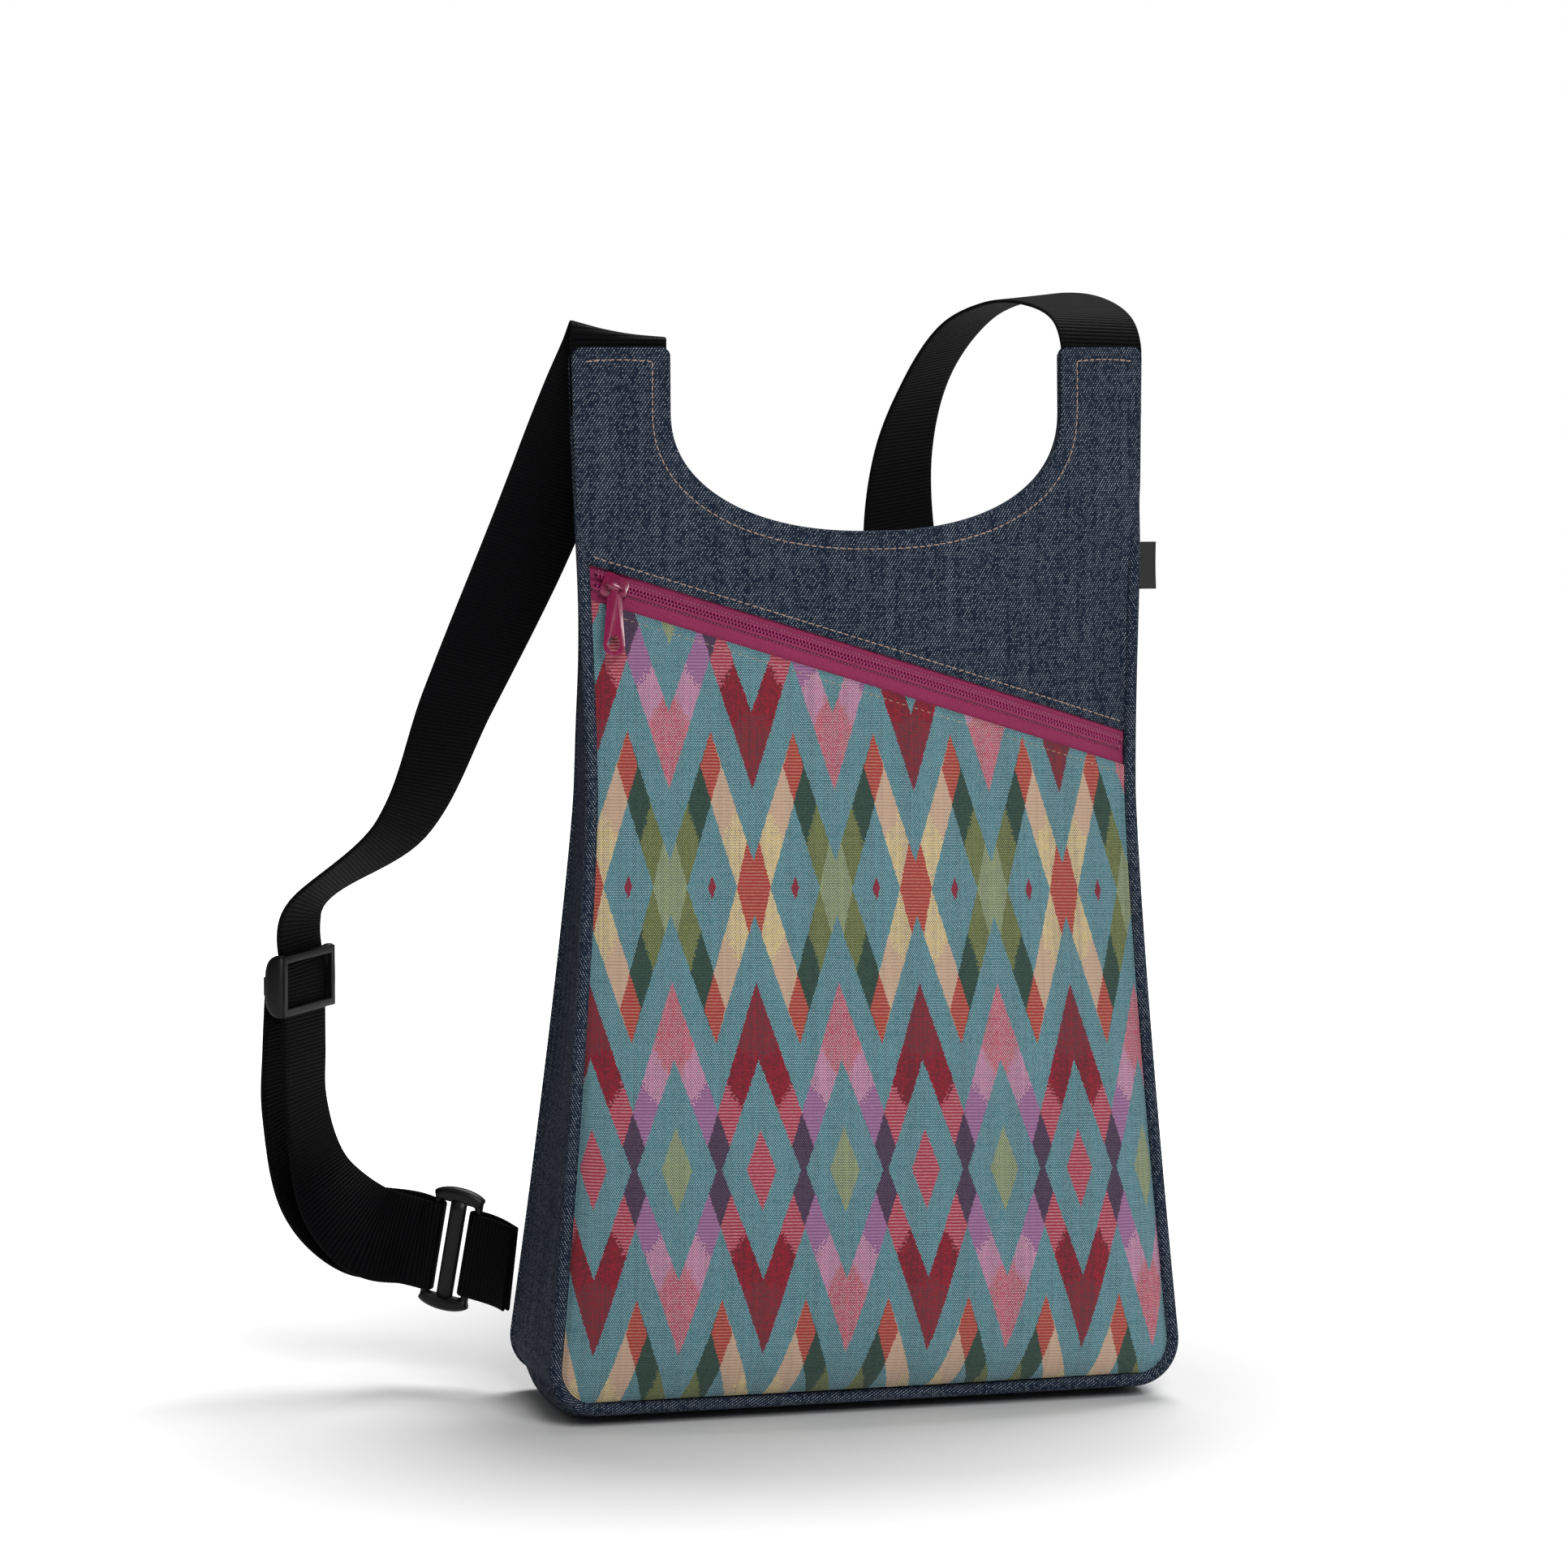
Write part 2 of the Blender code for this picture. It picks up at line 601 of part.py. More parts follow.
def slider_frame():
    """Origin and axes at the slider: along the zip, across it and outwards."""
    angle = zip_angle_at(-ZIP_STOP_X)
    origin = zip_point(angle, 0.0, 0.0)
    along = ZIP_ALONG * math.cos(angle) + np.array([0.0, 1.0, 0.0]) * math.sin(angle)
    outward = np.cross(along, ZIP_ACROSS)
    return origin, along, ZIP_ACROSS, outward


def slider_levels():
    """Heights above the cloth face: teeth top, plate top, tape back and plate below."""
    under = TEETH_HEIGHT - CLOTH + SLIDER_CLEARANCE
    top = under + SLIDER_PLATE
    tape_back = -(CLOTH + GAP + TAPE_THICKNESS)
    below = tape_back - SLIDER_CLEARANCE - 0.0001
    return under, top, below, below - SLIDER_PLATE


def make_zip_slider():
    """Slider body: top plate with flanges, bottom plate, post and bridge for the pull."""
    under, top, below, base = slider_levels()
    part = TOOTH_REACH + SLIDER_POST / 2 + GAP
    tail_inner = SPINE_OUTER + SLIDER_CLEARANCE
    nose_inner = SPINE_OUTER + part + GAP
    tail_half = tail_inner + SLIDER_FLANGE
    nose_half = nose_inner + SLIDER_FLANGE
    outline = slider_outline(tail_half, nose_half)
    body = add_object("zip_slider", prism("zip_slider", outline, under, top), "zip_metal")
    origin, along, across, outward = slider_frame()
    body.matrix_world = frame_matrix(origin, along, across, outward)
    combine(body, prism("slider_base", outline, base, below))
    half = SLIDER_LENGTH / 2
    flange_low = -(CLOTH + GAP) + SLIDER_CLEARANCE
    for sign in (-1.0, 1.0):
        inner = [(-half, nose_inner), (-0.35 * half, nose_inner), (0.6 * half, tail_inner), (half, tail_inner)]
        outer = [(half, tail_half - 0.0004), (0.6 * half, tail_half), (-0.35 * half, nose_half)]
        outer.append((-half + 0.0004, nose_half - 0.0004))
        flange = [(a, sign * b) for a, b in inner + outer]
        combine(body, prism("slider_flange", flange, flange_low, top - 0.0002))
    post = SLIDER_POST / 2
    wedge = [(-half + 0.0004, 0.0), (-half * 0.8, post), (-half * 0.35, post), (-half * 0.1, 0.0)]
    wedge += [(-half * 0.35, -post), (-half * 0.8, -post)]
    combine(body, prism("slider_post", wedge, base + 0.0002, top - 0.0002))
    rise = top + BRIDGE_RISE
    turn = 0.0010
    arc = np.linspace(0.0, math.pi / 2, 4)
    left = [(-BRIDGE_HALF_SPAN, 0.0, top - 0.0006)]
    for t in arc:
        left.append((-BRIDGE_HALF_SPAN + turn * (1 - math.cos(t)), 0.0, rise - turn * (1 - math.sin(t))))
    path = left + [(-a, b, c) for a, b, c in reversed(left)]
    bridge = tube("slider_bridge", path, BRIDGE_RADIUS, "zip_metal", 8)
    mesh = bridge.data
    bpy.data.objects.remove(bridge)
    combine(body, mesh)
    return body


def pull_axis_point():
    """Centre of the bridge's bar, which the pull turns on."""
    origin, _, _, outward = slider_frame()
    return origin + outward * (slider_levels()[1] + BRIDGE_RISE)


def make_zip_pull():
    """Pull: an eye round the bridge's bar and a flat blade with an oval hole."""
    _, along, _, outward = slider_frame()
    level = np.array([outward[0], outward[1], 0.0])
    level /= np.linalg.norm(level)
    tilt = math.radians(PULL_TILT_DEG)
    down = np.array([0.0, 0.0, -1.0]) * math.cos(tilt) + level * math.sin(tilt)
    side = np.cross(down, level)
    side /= np.linalg.norm(side)
    face = np.cross(side, down)
    inner, outer = BRIDGE_RADIUS + SLIDER_CLEARANCE, BRIDGE_RADIUS + SLIDER_CLEARANCE + 0.0008
    start = (inner + outer) / 2
    top, end = PULL_TOP_WIDTH / 2, PULL_END_WIDTH / 2
    turn = np.linspace(0.0, math.pi, 9)
    low = PULL_LENGTH - end
    neck = 0.0013
    outline = [(-neck, start), (-neck, start + 0.0016), (-top, start + 0.0034)]
    outline += [(-end * math.cos(t), low + end * math.sin(t)) for t in turn]
    outline += [(top, start + 0.0034), (neck, start + 0.0016), (neck, start)]
    half = PULL_THICKNESS / 2
    pull = add_object("zip_pull", prism("zip_pull", outline, -half, half), "zip_metal")
    pull.matrix_world = frame_matrix(pull_axis_point(), side, down, face)
    angles = np.linspace(0.0, 2 * math.pi, 13)[:-1]
    hole = [(0.0025 * math.cos(t), low - 0.0005 + 0.0035 * math.sin(t)) for t in angles]
    combine(pull, prism("pull_hole", hole, -2 * half, 2 * half), "DIFFERENCE")
    turn_to_pull = pull.matrix_world.inverted().to_3x3()
    axis = turn_to_pull @ Vector(along)
    first = axis.cross(Vector((0.0, 0.0, 1.0))).normalized()
    second = axis.cross(first).normalized()
    rings = []
    for shift, radius in ((-0.5, inner), (-0.5, outer), (0.5, outer), (0.5, inner)):
        for number in range(12):
            t = 2 * math.pi * number / 12
            spot = axis * (shift * PULL_EYE_LENGTH) + (first * math.cos(t) + second * math.sin(t)) * radius
            rings.append(tuple(spot))
    faces = grid_faces(4, 12, closed_columns=True)
    for i in range(12):
        beside = (i + 1) % 12
        faces.append((36 + i, 36 + beside, beside, i))
    combine(pull, closed_mesh("pull_eye", rings, faces))
    core = []
    for shift in (-0.55, 0.55):
        for number in range(12):
            t = 2 * math.pi * number / 12
            spot = axis * (shift * PULL_EYE_LENGTH) + (first * math.cos(t) + second * math.sin(t)) * inner
            core.append(tuple(spot))
    core_faces = [tuple(range(12)), tuple(12 + i for i in range(12))]
    core_faces += grid_faces(2, 12, closed_columns=True)
    combine(pull, closed_mesh("pull_bore", core, core_faces), "DIFFERENCE")
    return pull


def ribbon(name, points, across, width, thickness, slot):
    """Flat webbing along a path: a rectangle carried along it, with capped ends."""
    points, across = np.asarray(points), np.asarray(across)
    along = np.gradient(points, axis=0)
    along /= np.linalg.norm(along, axis=1, keepdims=True)
    across = across - along * np.sum(across * along, axis=1, keepdims=True)
    across /= np.linalg.norm(across, axis=1, keepdims=True)
    face = np.cross(along, across)
    corners = [(-1, -1), (1, -1), (1, 1), (-1, 1)]
    rings = [points + across * (a * width / 2) + face * (b * thickness / 2) for a, b in corners]
    vertices = np.array(rings).transpose(1, 0, 2).reshape(-1, 3)
    last = (len(points) - 1) * 4
    faces = [(0, 1, 2, 3), (last, last + 1, last + 2, last + 3)]
    for low in range(0, last, 4):
        high = low + 4
        faces += [(low, low + 1, high + 1), (low, high + 1, high)]
        faces += [(low + 3, high + 3, high + 2), (low + 3, high + 2, low + 2)]
        faces += [(low + 1, low + 2, high + 2, high + 1), (low + 3, low, high, high + 3)]
    return add_object(name, closed_mesh(name, vertices, faces), slot)


def spline(knots, samples):
    """Centripetal curve through knots, with the same number of samples in each span."""
    knots = np.asarray(knots, dtype=float)
    before = 2 * knots[0] - knots[1]
    after = 2 * knots[-1] - knots[-2]
    pad = np.vstack([before, knots, after])
    pieces = []
    for i in range(len(knots) - 1):
        p0, p1, p2, p3 = pad[i:i + 4]
        t = np.linspace(0.0, 1.0, samples, endpoint=False)[:, None]
        d1 = max(np.linalg.norm(p1 - p0), 1e-6) ** 0.5
        d2 = max(np.linalg.norm(p2 - p1), 1e-6) ** 0.5
        d3 = max(np.linalg.norm(p3 - p2), 1e-6) ** 0.5
        m1 = (p1 - p0) / d1 - (p2 - p0) / (d1 + d2) + (p2 - p1) / d2
        m2 = (p2 - p1) / d2 - (p3 - p1) / (d2 + d3) + (p3 - p2) / d3
        m1, m2 = m1 * d2, m2 * d2
        h00, h10 = 2 * t**3 - 3 * t**2 + 1, t**3 - 2 * t**2 + t
        h01, h11 = -2 * t**3 + 3 * t**2, t**3 - t**2
        pieces.append(h00 * p1 + h10 * m1 + h01 * p2 + h11 * m2)
    pieces.append(knots[-1:])
    return np.vstack(pieces)


def unit(vector):
    """Vector of length one."""
    vector = np.asarray(vector, dtype=float)
    return vector / np.linalg.norm(vector)


class Strap:
    """Route and fittings of one shoulder strap.

    The upper stations lead from the tab's ridge to the adjuster, and the lower ones
    from the adjuster to the loop. Each is a place and the webbing's cross direction.
    """

    def __init__(self, side, sign, ridge_slope, upper, adjuster, adjuster_across, lower, loop, loop_along, loop_across, stub_end):
        self.side = side
        self.sign = sign
        self.ridge_slope = ridge_slope
        self.upper = upper
        self.adjuster = np.array(adjuster)
        self.down = unit((0.0, 0.0, -1.0))
        self.adjuster_across = unit(adjuster_across)
        self.adjuster_face = np.cross(self.down, self.adjuster_across)
        self.lower = lower
        self.loop = np.array(loop)
        self.loop_along = unit(loop_along)
        cross = np.array(loop_across, dtype=float)
        self.loop_across = unit(cross - self.loop_along * np.dot(cross, self.loop_along))
        self.loop_face = np.cross(self.loop_along, self.loop_across)
        self.stub_end = stub_end

    def tab_stations(self):
        """Straight stretch between the layers of the tab, and over its top."""
        x = self.sign * (NECK_HALF_WIDTH + SHOULDER_HALF_WIDTH) / 2
        layer = CLOTH + 3 * GAP + WEB_THICKNESS / 2
        reach = WEB_WIDTH / 2
        stations = []
        for z in (TAB_TOP_Z - WEB_IN_TAB, TAB_TOP_Z - 0.012, TAB_TOP_Z + 0.001):
            ends = [float(front_y(np.array(x + side), np.array(z))) for side in (-reach, reach)]
            stations.append(((x, sum(ends) / 2 + layer, z), (2 * reach, ends[1] - ends[0], 0.0)))
        return stations

    def ridge(self):
        """Fold over the tab's top: the webbing turns round a slanting line to the back."""
        if not self.ridge_slope:
            return []
        (x, y, z), across = self.tab_stations()[-1]
        across, rise = unit(across), np.array([0.0, 0.0, 1.0])
        line = unit(across - rise * self.ridge_slope)
        back = -np.cross(across, rise)
        share = np.dot(rise, line)
        upright = unit(rise - line * share)
        slip = share / math.sqrt(1.0 - share**2)
        keep = np.dot(across, line)
        rest = np.dot(across, upright)
        start = np.array([x, y, z]) + rise * RIDGE_HEIGHT
        stations = []
        for turn in np.linspace(0.0, math.pi, 7):
            place = start + RIDGE_RADIUS * (
                line * slip * turn + back * (1.0 - math.cos(turn)) + upright * math.sin(turn)
            )
            cross = line * keep + rest * (upright * math.cos(turn) + back * math.sin(turn))
            stations.append((place, cross))
        leaving = unit(2.0 * share * line - rise)
        place, cross = stations[-1]
        stations.append((place + leaving * 0.008 + back * 0.001, cross))
        return stations

    def bar_place(self):
        """Centre of the loop's bar that the strap turns round."""
        return self.loop - self.loop_along * (FITTING_BAR + FITTING_SLOT)

    def build_strap(self):
        """Webbing from the tab to the adjuster, down to the loop and back up."""
        stretch = 0.030
        stations = self.tab_stations() + self.ridge() + self.upper
        for shift in (-stretch, 0.0, stretch):
            stations.append((self.adjuster + self.down * shift, self.adjuster_across))
        near_end = self.bar_place() + self.loop_face * WRAP_RADIUS
        straight_end = near_end - self.loop_along * 0.008
        lower = list(self.lower) + [(straight_end, self.loop_across), (near_end, self.loop_across)]
        main = stations + lower
        places = spline([p for p, _ in main], 5)
        crosses = spline([unit(w) for _, w in main], 5)
        first_return = (len(stations) - 2) * 5
        along = np.gradient(places, axis=0)
        along /= np.linalg.norm(along, axis=1, keepdims=True)
        crosses -= along * np.sum(crosses * along, axis=1, keepdims=True)
        crosses /= np.linalg.norm(crosses, axis=1, keepdims=True)
        face = np.cross(along, crosses)
        gap_at_bar = WEB_THICKNESS + GAP + 2 * WRAP_RADIUS
        count = len(places) - first_return
        share = np.linspace(0.0, 1.0, count)[:, None]
        spread = gap_at_bar * (1 - share) + 2 * WRAP_RADIUS * share + 0.004 * np.sin(math.pi * share)
        back = (places[first_return:] - face[first_return:] * spread)[::-1]
        back_cross = crosses[first_return:][::-1]
        turn = np.linspace(0.0, math.pi, 9)[1:-1]
        centre = self.bar_place()
        wrap = [centre + WRAP_RADIUS * (self.loop_face * math.cos(t) + self.loop_along * math.sin(t)) for t in turn]
        core = self.adjuster - self.adjuster_face * (gap_at_bar - WRAP_RADIUS)
        over = [
            core - WRAP_RADIUS * (self.adjuster_face * math.cos(t) + self.down * math.sin(t)) for t in turn
        ]
        front = core + self.adjuster_face * WRAP_RADIUS
        tail = [front, front + self.down * 0.004 - self.adjuster_face * 0.0004]
        tail.append(front + self.down * 0.011 - self.adjuster_face * 0.0026)
        tail.append(front + self.down * 0.018 - self.adjuster_face * 0.0032)
        points = list(places) + wrap + list(back) + over + tail
        across = list(crosses) + [self.loop_across] * len(wrap) + list(back_cross)
        across += [self.adjuster_across] * (len(over) + len(tail))
        return ribbon("strap_" + self.side, points, across, WEB_WIDTH, WEB_THICKNESS, "webbing")

    def build_adjuster(self):
        """Tri-glide: two outer bars before the strap and a set-back centre bar behind it."""
        half = ADJUSTER_HALF_LENGTH
        inner = FITTING_INNER
        front = WEB_THICKNESS / 2 + GAP
        window = prism_ring(
            (-half, -FITTING_OUTER), (half, FITTING_OUTER),
            (-half + FITTING_BAR, -inner), (half - FITTING_BAR, inner), front, front + ADJUSTER_BAR,
        )
        frame = add_object("adjuster_" + self.side, window, "plastic")
        frame.matrix_world = frame_matrix(self.adjuster, self.down, self.adjuster_across, self.adjuster_face)
        back = -(WEB_THICKNESS / 2 + 2 * GAP + WEB_THICKNESS)
        bar_high = -(WEB_THICKNESS / 2 + GAP + WEB_THICKNESS + GAP)
        bar_low = bar_high - FITTING_BAR
        bar_half = FITTING_BAR / 2
        for sign in (-1.0, 1.0):
            low, high = sorted((sign * inner, sign * FITTING_OUTER))
            cheek = box_mesh("cheek", (-0.004, low, bar_low - 0.0006), (0.004, high, front + 0.0005))
            combine(frame, cheek)
        turn = np.linspace(0.0, 2 * math.pi, 13)[:-1]
        middle = (bar_high + bar_low) / 2
        ring = [(bar_half * math.cos(t), middle + bar_half * math.sin(t)) for t in turn]
        vertices = []
        for place in (-inner - 0.0008, inner + 0.0008):
            vertices += [(a, place, b) for a, b in ring]
        faces = [tuple(range(12)), tuple(12 + i for i in range(12))] + grid_faces(2, 12, closed_columns=True)
        combine(frame, closed_mesh("bar", vertices, faces))
        return frame

    def build_loop(self):
        """Two-slot plate: the strap turns round one end bar and the stub round the other."""
        pitch = FITTING_BAR + FITTING_SLOT
        lines = (-pitch - FITTING_BAR / 2, -pitch + FITTING_BAR / 2, -FITTING_BAR / 2)
        xs = list(lines) + [-value for value in reversed(lines)]
        inner = FITTING_INNER
        ys = [-FITTING_OUTER, -inner, inner, FITTING_OUTER]
        mesh = cell_plate(xs, ys, {(1, 1), (3, 1)}, -FITTING_BAR / 2, FITTING_BAR / 2)
        plate = add_object("loop_" + self.side, mesh, "plastic")
        plate.matrix_world = frame_matrix(self.loop, self.loop_along, self.loop_across, self.loop_face)
        edge = plate.modifiers.new("rounded edges", "BEVEL")
        edge.width = FITTING_BEVEL
        edge.segments = 2
        edge.limit_method = "ANGLE"
        return plate

    def build_anchor(self):
        """Folded webbing stub, sewn in the back side seam, that holds the loop."""
        bar = self.loop + self.loop_along * (FITTING_BAR + FITTING_SLOT)
        x, z = self.stub_end
        seam_x = self.sign * (float(side_half(np.array(z))) + 0.0002)
        seam_place = np.array([seam_x, float(back_y(np.array(x), np.array(z))) - CLOTH / 2, z])
        rise = 0.02
        higher = np.array([
            self.sign * float(side_half(np.array(z + rise))),
            float(back_y(np.array(x), np.array(z + rise))), z + rise,
        ])
        lower = np.array([
            self.sign * float(side_half(np.array(z - rise))),
            float(back_y(np.array(x), np.array(z - rise))), z - rise,
        ])
        seam_across = unit(higher - lower)
        if np.dot(seam_across, self.loop_across) < 0.0:
            seam_across = -seam_across
        toward = unit(seam_place - bar)
        start = seam_place - toward * 5 * GAP + np.array([self.sign * 4 * GAP, 0.0, 0.0])
        pinch = (WEB_THICKNESS + 3 * GAP) / 2
        lead = bar + self.loop_along * np.linalg.norm(start - bar) * 0.5
        twist = np.linspace(0.0, 1.0, 10)[:, None]
        middle = start * (1.0 - twist) ** 2 + lead * 2.0 * twist * (1.0 - twist) + bar * twist**2
        crosses = seam_across * (1.0 - smoothstep(0.0, 0.8, twist)) + self.loop_across * smoothstep(0.0, 0.8, twist)
        along = np.gradient(middle, axis=0)
        faces_out = np.cross(along, crosses)
        faces_out /= np.linalg.norm(faces_out, axis=1, keepdims=True)
        if np.dot(faces_out[-1], self.loop_face) < 0.0:
            faces_out = -faces_out
        faces_out = faces_out * (1.0 - twist) + self.loop_face * twist
        faces_out /= np.linalg.norm(faces_out, axis=1, keepdims=True)
        spread = pinch + (WRAP_RADIUS - pinch) * smoothstep(0.0, 0.9, twist)
        near = middle + faces_out * spread
        far = (middle - faces_out * spread)[::-1]
        turn = np.linspace(0.0, math.pi, 9)[1:-1]
        wrap = [bar + WRAP_RADIUS * (self.loop_face * math.cos(t) - self.loop_along * math.sin(t)) for t in turn]
        points = list(near) + wrap + list(far)
        across = list(crosses) + [self.loop_across] * len(wrap) + list(crosses[::-1])
        return ribbon("anchor_" + self.side, points, across, WEB_WIDTH - 0.002, WEB_THICKNESS, "webbing")

    def build(self):
        """Build the strap with its adjuster, loop and anchor."""
        self.build_strap()
        self.build_adjuster()
        self.build_loop()
        self.build_anchor()


def cell_plate(xs, ys, holes, low, high):
    """Plate of rectangular cells between two heights, with some cells left open."""
    work = bmesh.new()
    corner = {}
    for i, x in enumerate(xs):
        for j, y in enumerate(ys):
            corner[i, j] = work.verts.new((x, y, low))
    for i in range(len(xs) - 1):
        for j in range(len(ys) - 1):
            if (i, j) not in holes:
                work.faces.new((corner[i, j], corner[i, j + 1], corner[i + 1, j + 1], corner[i + 1, j]))
    raised = bmesh.ops.extrude_face_region(work, geom=list(work.faces))["geom"]
    for item in raised:
        if isinstance(item, bmesh.types.BMVert):
            item.co.z = high
    bmesh.ops.recalc_face_normals(work, faces=work.faces)
    bmesh.ops.dissolve_limit(
        work, angle_limit=0.001, use_dissolve_boundaries=False, verts=work.verts, edges=work.edges,
        delimit={"NORMAL"},
    )
    mesh = bpy.data.meshes.new("plate")
    work.to_mesh(mesh)
    work.free()
    return mesh


def prism_ring(low, high, inner_low, inner_high, bottom, top):
    """Rectangular frame with one window."""
    xs = [low[0], inner_low[0], inner_high[0], high[0]]
    ys = [low[1], inner_low[1], inner_high[1], high[1]]
    return cell_plate(xs, ys, {(1, 1)}, bottom, top)


def make_side_label():
    """Folded woven tab that stands out of the right-hand seam."""
    root_x = float(side_half(np.array(LABEL_Z))) - BACK_MARGIN - 0.0045
    tip_x = root_x + LABEL_WIDTH + 0.0045
    fold = LABEL_SHEET / 2 + 0.0001
    turn = np.linspace(-math.pi / 2, math.pi / 2, 5)
    x = np.concatenate([[root_x], tip_x - fold + fold * np.cos(turn), [root_x]])
    y = np.concatenate([[-fold], fold * np.sin(turn), [fold]])
    depth = float(seam_y(np.array(LABEL_Z))) + PIPING_RADIUS + GAP + LABEL_SHEET + 0.0001
    z = np.array([LABEL_Z - LABEL_HEIGHT / 2, LABEL_Z + LABEL_HEIGHT / 2])
    places = stack(x[None, :], depth + y[None, :] + LEAN * (z[:, None] - LABEL_Z), z[:, None])
    return ribbon_wall("side_label", places, LABEL_SHEET, "webbing")


def ribbon_wall(name, points, thickness, slot):
    """Thin wall round a folded line, the same thickness on both sides of it."""
    rows, columns = points.shape[:2]
    mesh = bpy.data.meshes.new(name)
    mesh.from_pydata(points.reshape(-1, 3).tolist(), [], grid_faces(rows, columns))
    item = add_object(name, mesh, slot)
    skin = item.modifiers.new("sheet thickness", "SOLIDIFY")
    skin.thickness = thickness
    skin.offset = 0.0
    skin.use_even_offset = True
    return item


LEFT_STRAP = Strap(
    "left", -1.0, 0.18,
    upper=[
        ((-0.1130, -0.0160, 0.4280), (0.93, -0.10, -0.34)),
        ((-0.1220, 0.0060, 0.3960), (0.92, 0.14, -0.36)),
        ((-0.1360, 0.0210, 0.3560), (0.87, 0.26, -0.36)),
        ((-0.1580, 0.0400, 0.2990), (0.76, 0.46, -0.30)),
        ((-0.1800, 0.0520, 0.2450), (0.66, 0.66, -0.20)),
    ],
    adjuster=(-0.2220, 0.0600, 0.1790),
    adjuster_across=(0.588, 0.809, 0.0),
    lower=[
        ((-0.2215, 0.0600, 0.1250), (0.56, 0.80, 0.10)),
        ((-0.2130, 0.0600, 0.0900), (0.48, 0.58, 0.60)),
        ((-0.1950, 0.0590, 0.0700), (0.30, 0.20, 0.90)),
    ],
    loop=(-0.1590, 0.0560, 0.0605),
    loop_along=(0.86, -0.46, -0.20),
    loop_across=(0.30, -0.28, 0.90),
    stub_end=(-0.1360, 0.0540),
)

RIGHT_TURN = math.radians(-50.0)
RIGHT_LOOP = np.array([0.1380, 0.0665, 0.0605])


def turned(vector):
    """Direction turned about the vertical from the left-hand strap to the right-hand one."""
    x, y, z = vector
    cosine, sine = math.cos(RIGHT_TURN), math.sin(RIGHT_TURN)
    return np.array([x * cosine - y * sine, x * sine + y * cosine, z])


def moved(place):
    """Place beside the right-hand loop that matches a place beside the left-hand one."""
    return RIGHT_LOOP + turned(np.array(place) - LEFT_STRAP.loop)


RIGHT_STRAP = Strap(
    "right", 1.0, 0.0,
    upper=[
        ((0.1035, -0.0250, 0.4600), (0.97, 0.24, 0.0)),
        ((0.0985, 0.0060, 0.4690), (0.98, 0.18, 0.05)),
        ((0.0880, 0.0380, 0.4690), (0.90, 0.42, 0.10)),
        ((0.0750, 0.0640, 0.4600), (0.80, 0.58, 0.12)),
        ((0.0630, 0.0840, 0.4360), (0.74, 0.66, 0.08)),
        ((0.0555, 0.0980, 0.4000), (0.82, 0.55, 0.0)),
        ((0.0580, 0.1080, 0.3500), (0.94, 0.30, 0.0)),
        ((0.0740, 0.1140, 0.2850), (0.98, 0.16, 0.0)),
        ((0.0890, 0.1160, 0.2380), (0.99, 0.10, 0.0)),
    ],
    adjuster=moved(LEFT_STRAP.adjuster),
    adjuster_across=turned(LEFT_STRAP.adjuster_across),
    lower=[(moved(place), turned(across)) for place, across in LEFT_STRAP.lower],
    loop=RIGHT_LOOP,
    loop_along=turned(LEFT_STRAP.loop_along),
    loop_across=turned(LEFT_STRAP.loop_across),
    stub_end=(0.1360, 0.0540),
)


def main():
    """Build every piece of the backpack."""
    remove_start_objects()
    make_front_panel()
    make_front_yoke()
    make_back_panel()
    make_gusset()
    make_piping()
    make_zip_tape("zip_tape_upper", 1.0, ZIP_UPPER_MARGIN)
    make_zip_tape("zip_tape_lower", -1.0, ZIP_LOWER_MARGIN)
    make_zip_teeth("zip_teeth_upper", 1.0, 0.5)
    make_zip_teeth("zip_teeth_lower", -1.0, 1.0)
    make_zip_slider()
    make_zip_pull()
    make_side_label()
    LEFT_STRAP.build()
    RIGHT_STRAP.build()


main()
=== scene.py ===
"""A denim backpack with a woven lattice front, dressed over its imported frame.

Lengths are metres. +X is the viewer's right, -Y the front and +Z up.
"""
from __future__ import annotations

import logging
import math
from dataclasses import dataclass, field
from typing import Sequence

import bmesh
import bpy
import numpy as np
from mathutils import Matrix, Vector

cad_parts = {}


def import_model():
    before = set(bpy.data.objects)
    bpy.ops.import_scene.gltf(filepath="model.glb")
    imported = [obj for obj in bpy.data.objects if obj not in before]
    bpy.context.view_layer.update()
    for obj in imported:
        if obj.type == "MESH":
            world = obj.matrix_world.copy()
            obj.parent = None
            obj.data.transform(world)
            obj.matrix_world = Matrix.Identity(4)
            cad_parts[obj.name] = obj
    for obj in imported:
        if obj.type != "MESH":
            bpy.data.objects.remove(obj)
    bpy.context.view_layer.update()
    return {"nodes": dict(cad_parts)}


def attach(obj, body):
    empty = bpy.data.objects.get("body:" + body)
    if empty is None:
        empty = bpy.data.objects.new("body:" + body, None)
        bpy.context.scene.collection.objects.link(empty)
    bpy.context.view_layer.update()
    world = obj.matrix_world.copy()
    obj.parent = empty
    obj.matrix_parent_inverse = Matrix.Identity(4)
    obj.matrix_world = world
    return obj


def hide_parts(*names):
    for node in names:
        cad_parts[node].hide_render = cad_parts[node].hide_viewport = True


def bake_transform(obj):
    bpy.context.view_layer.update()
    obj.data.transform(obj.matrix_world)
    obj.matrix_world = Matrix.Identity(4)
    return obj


LOG = logging.getLogger("backpack")
CLOTH_MAP = "cloth"
BAG = "bag"
BACKWARD = np.array([0.0, 1.0, 0.0])
UPWARD = np.array([0.0, 0.0, 1.0])
STITCH_RINGS = 7
STITCH_SIDES = 6


# Numbers and colours


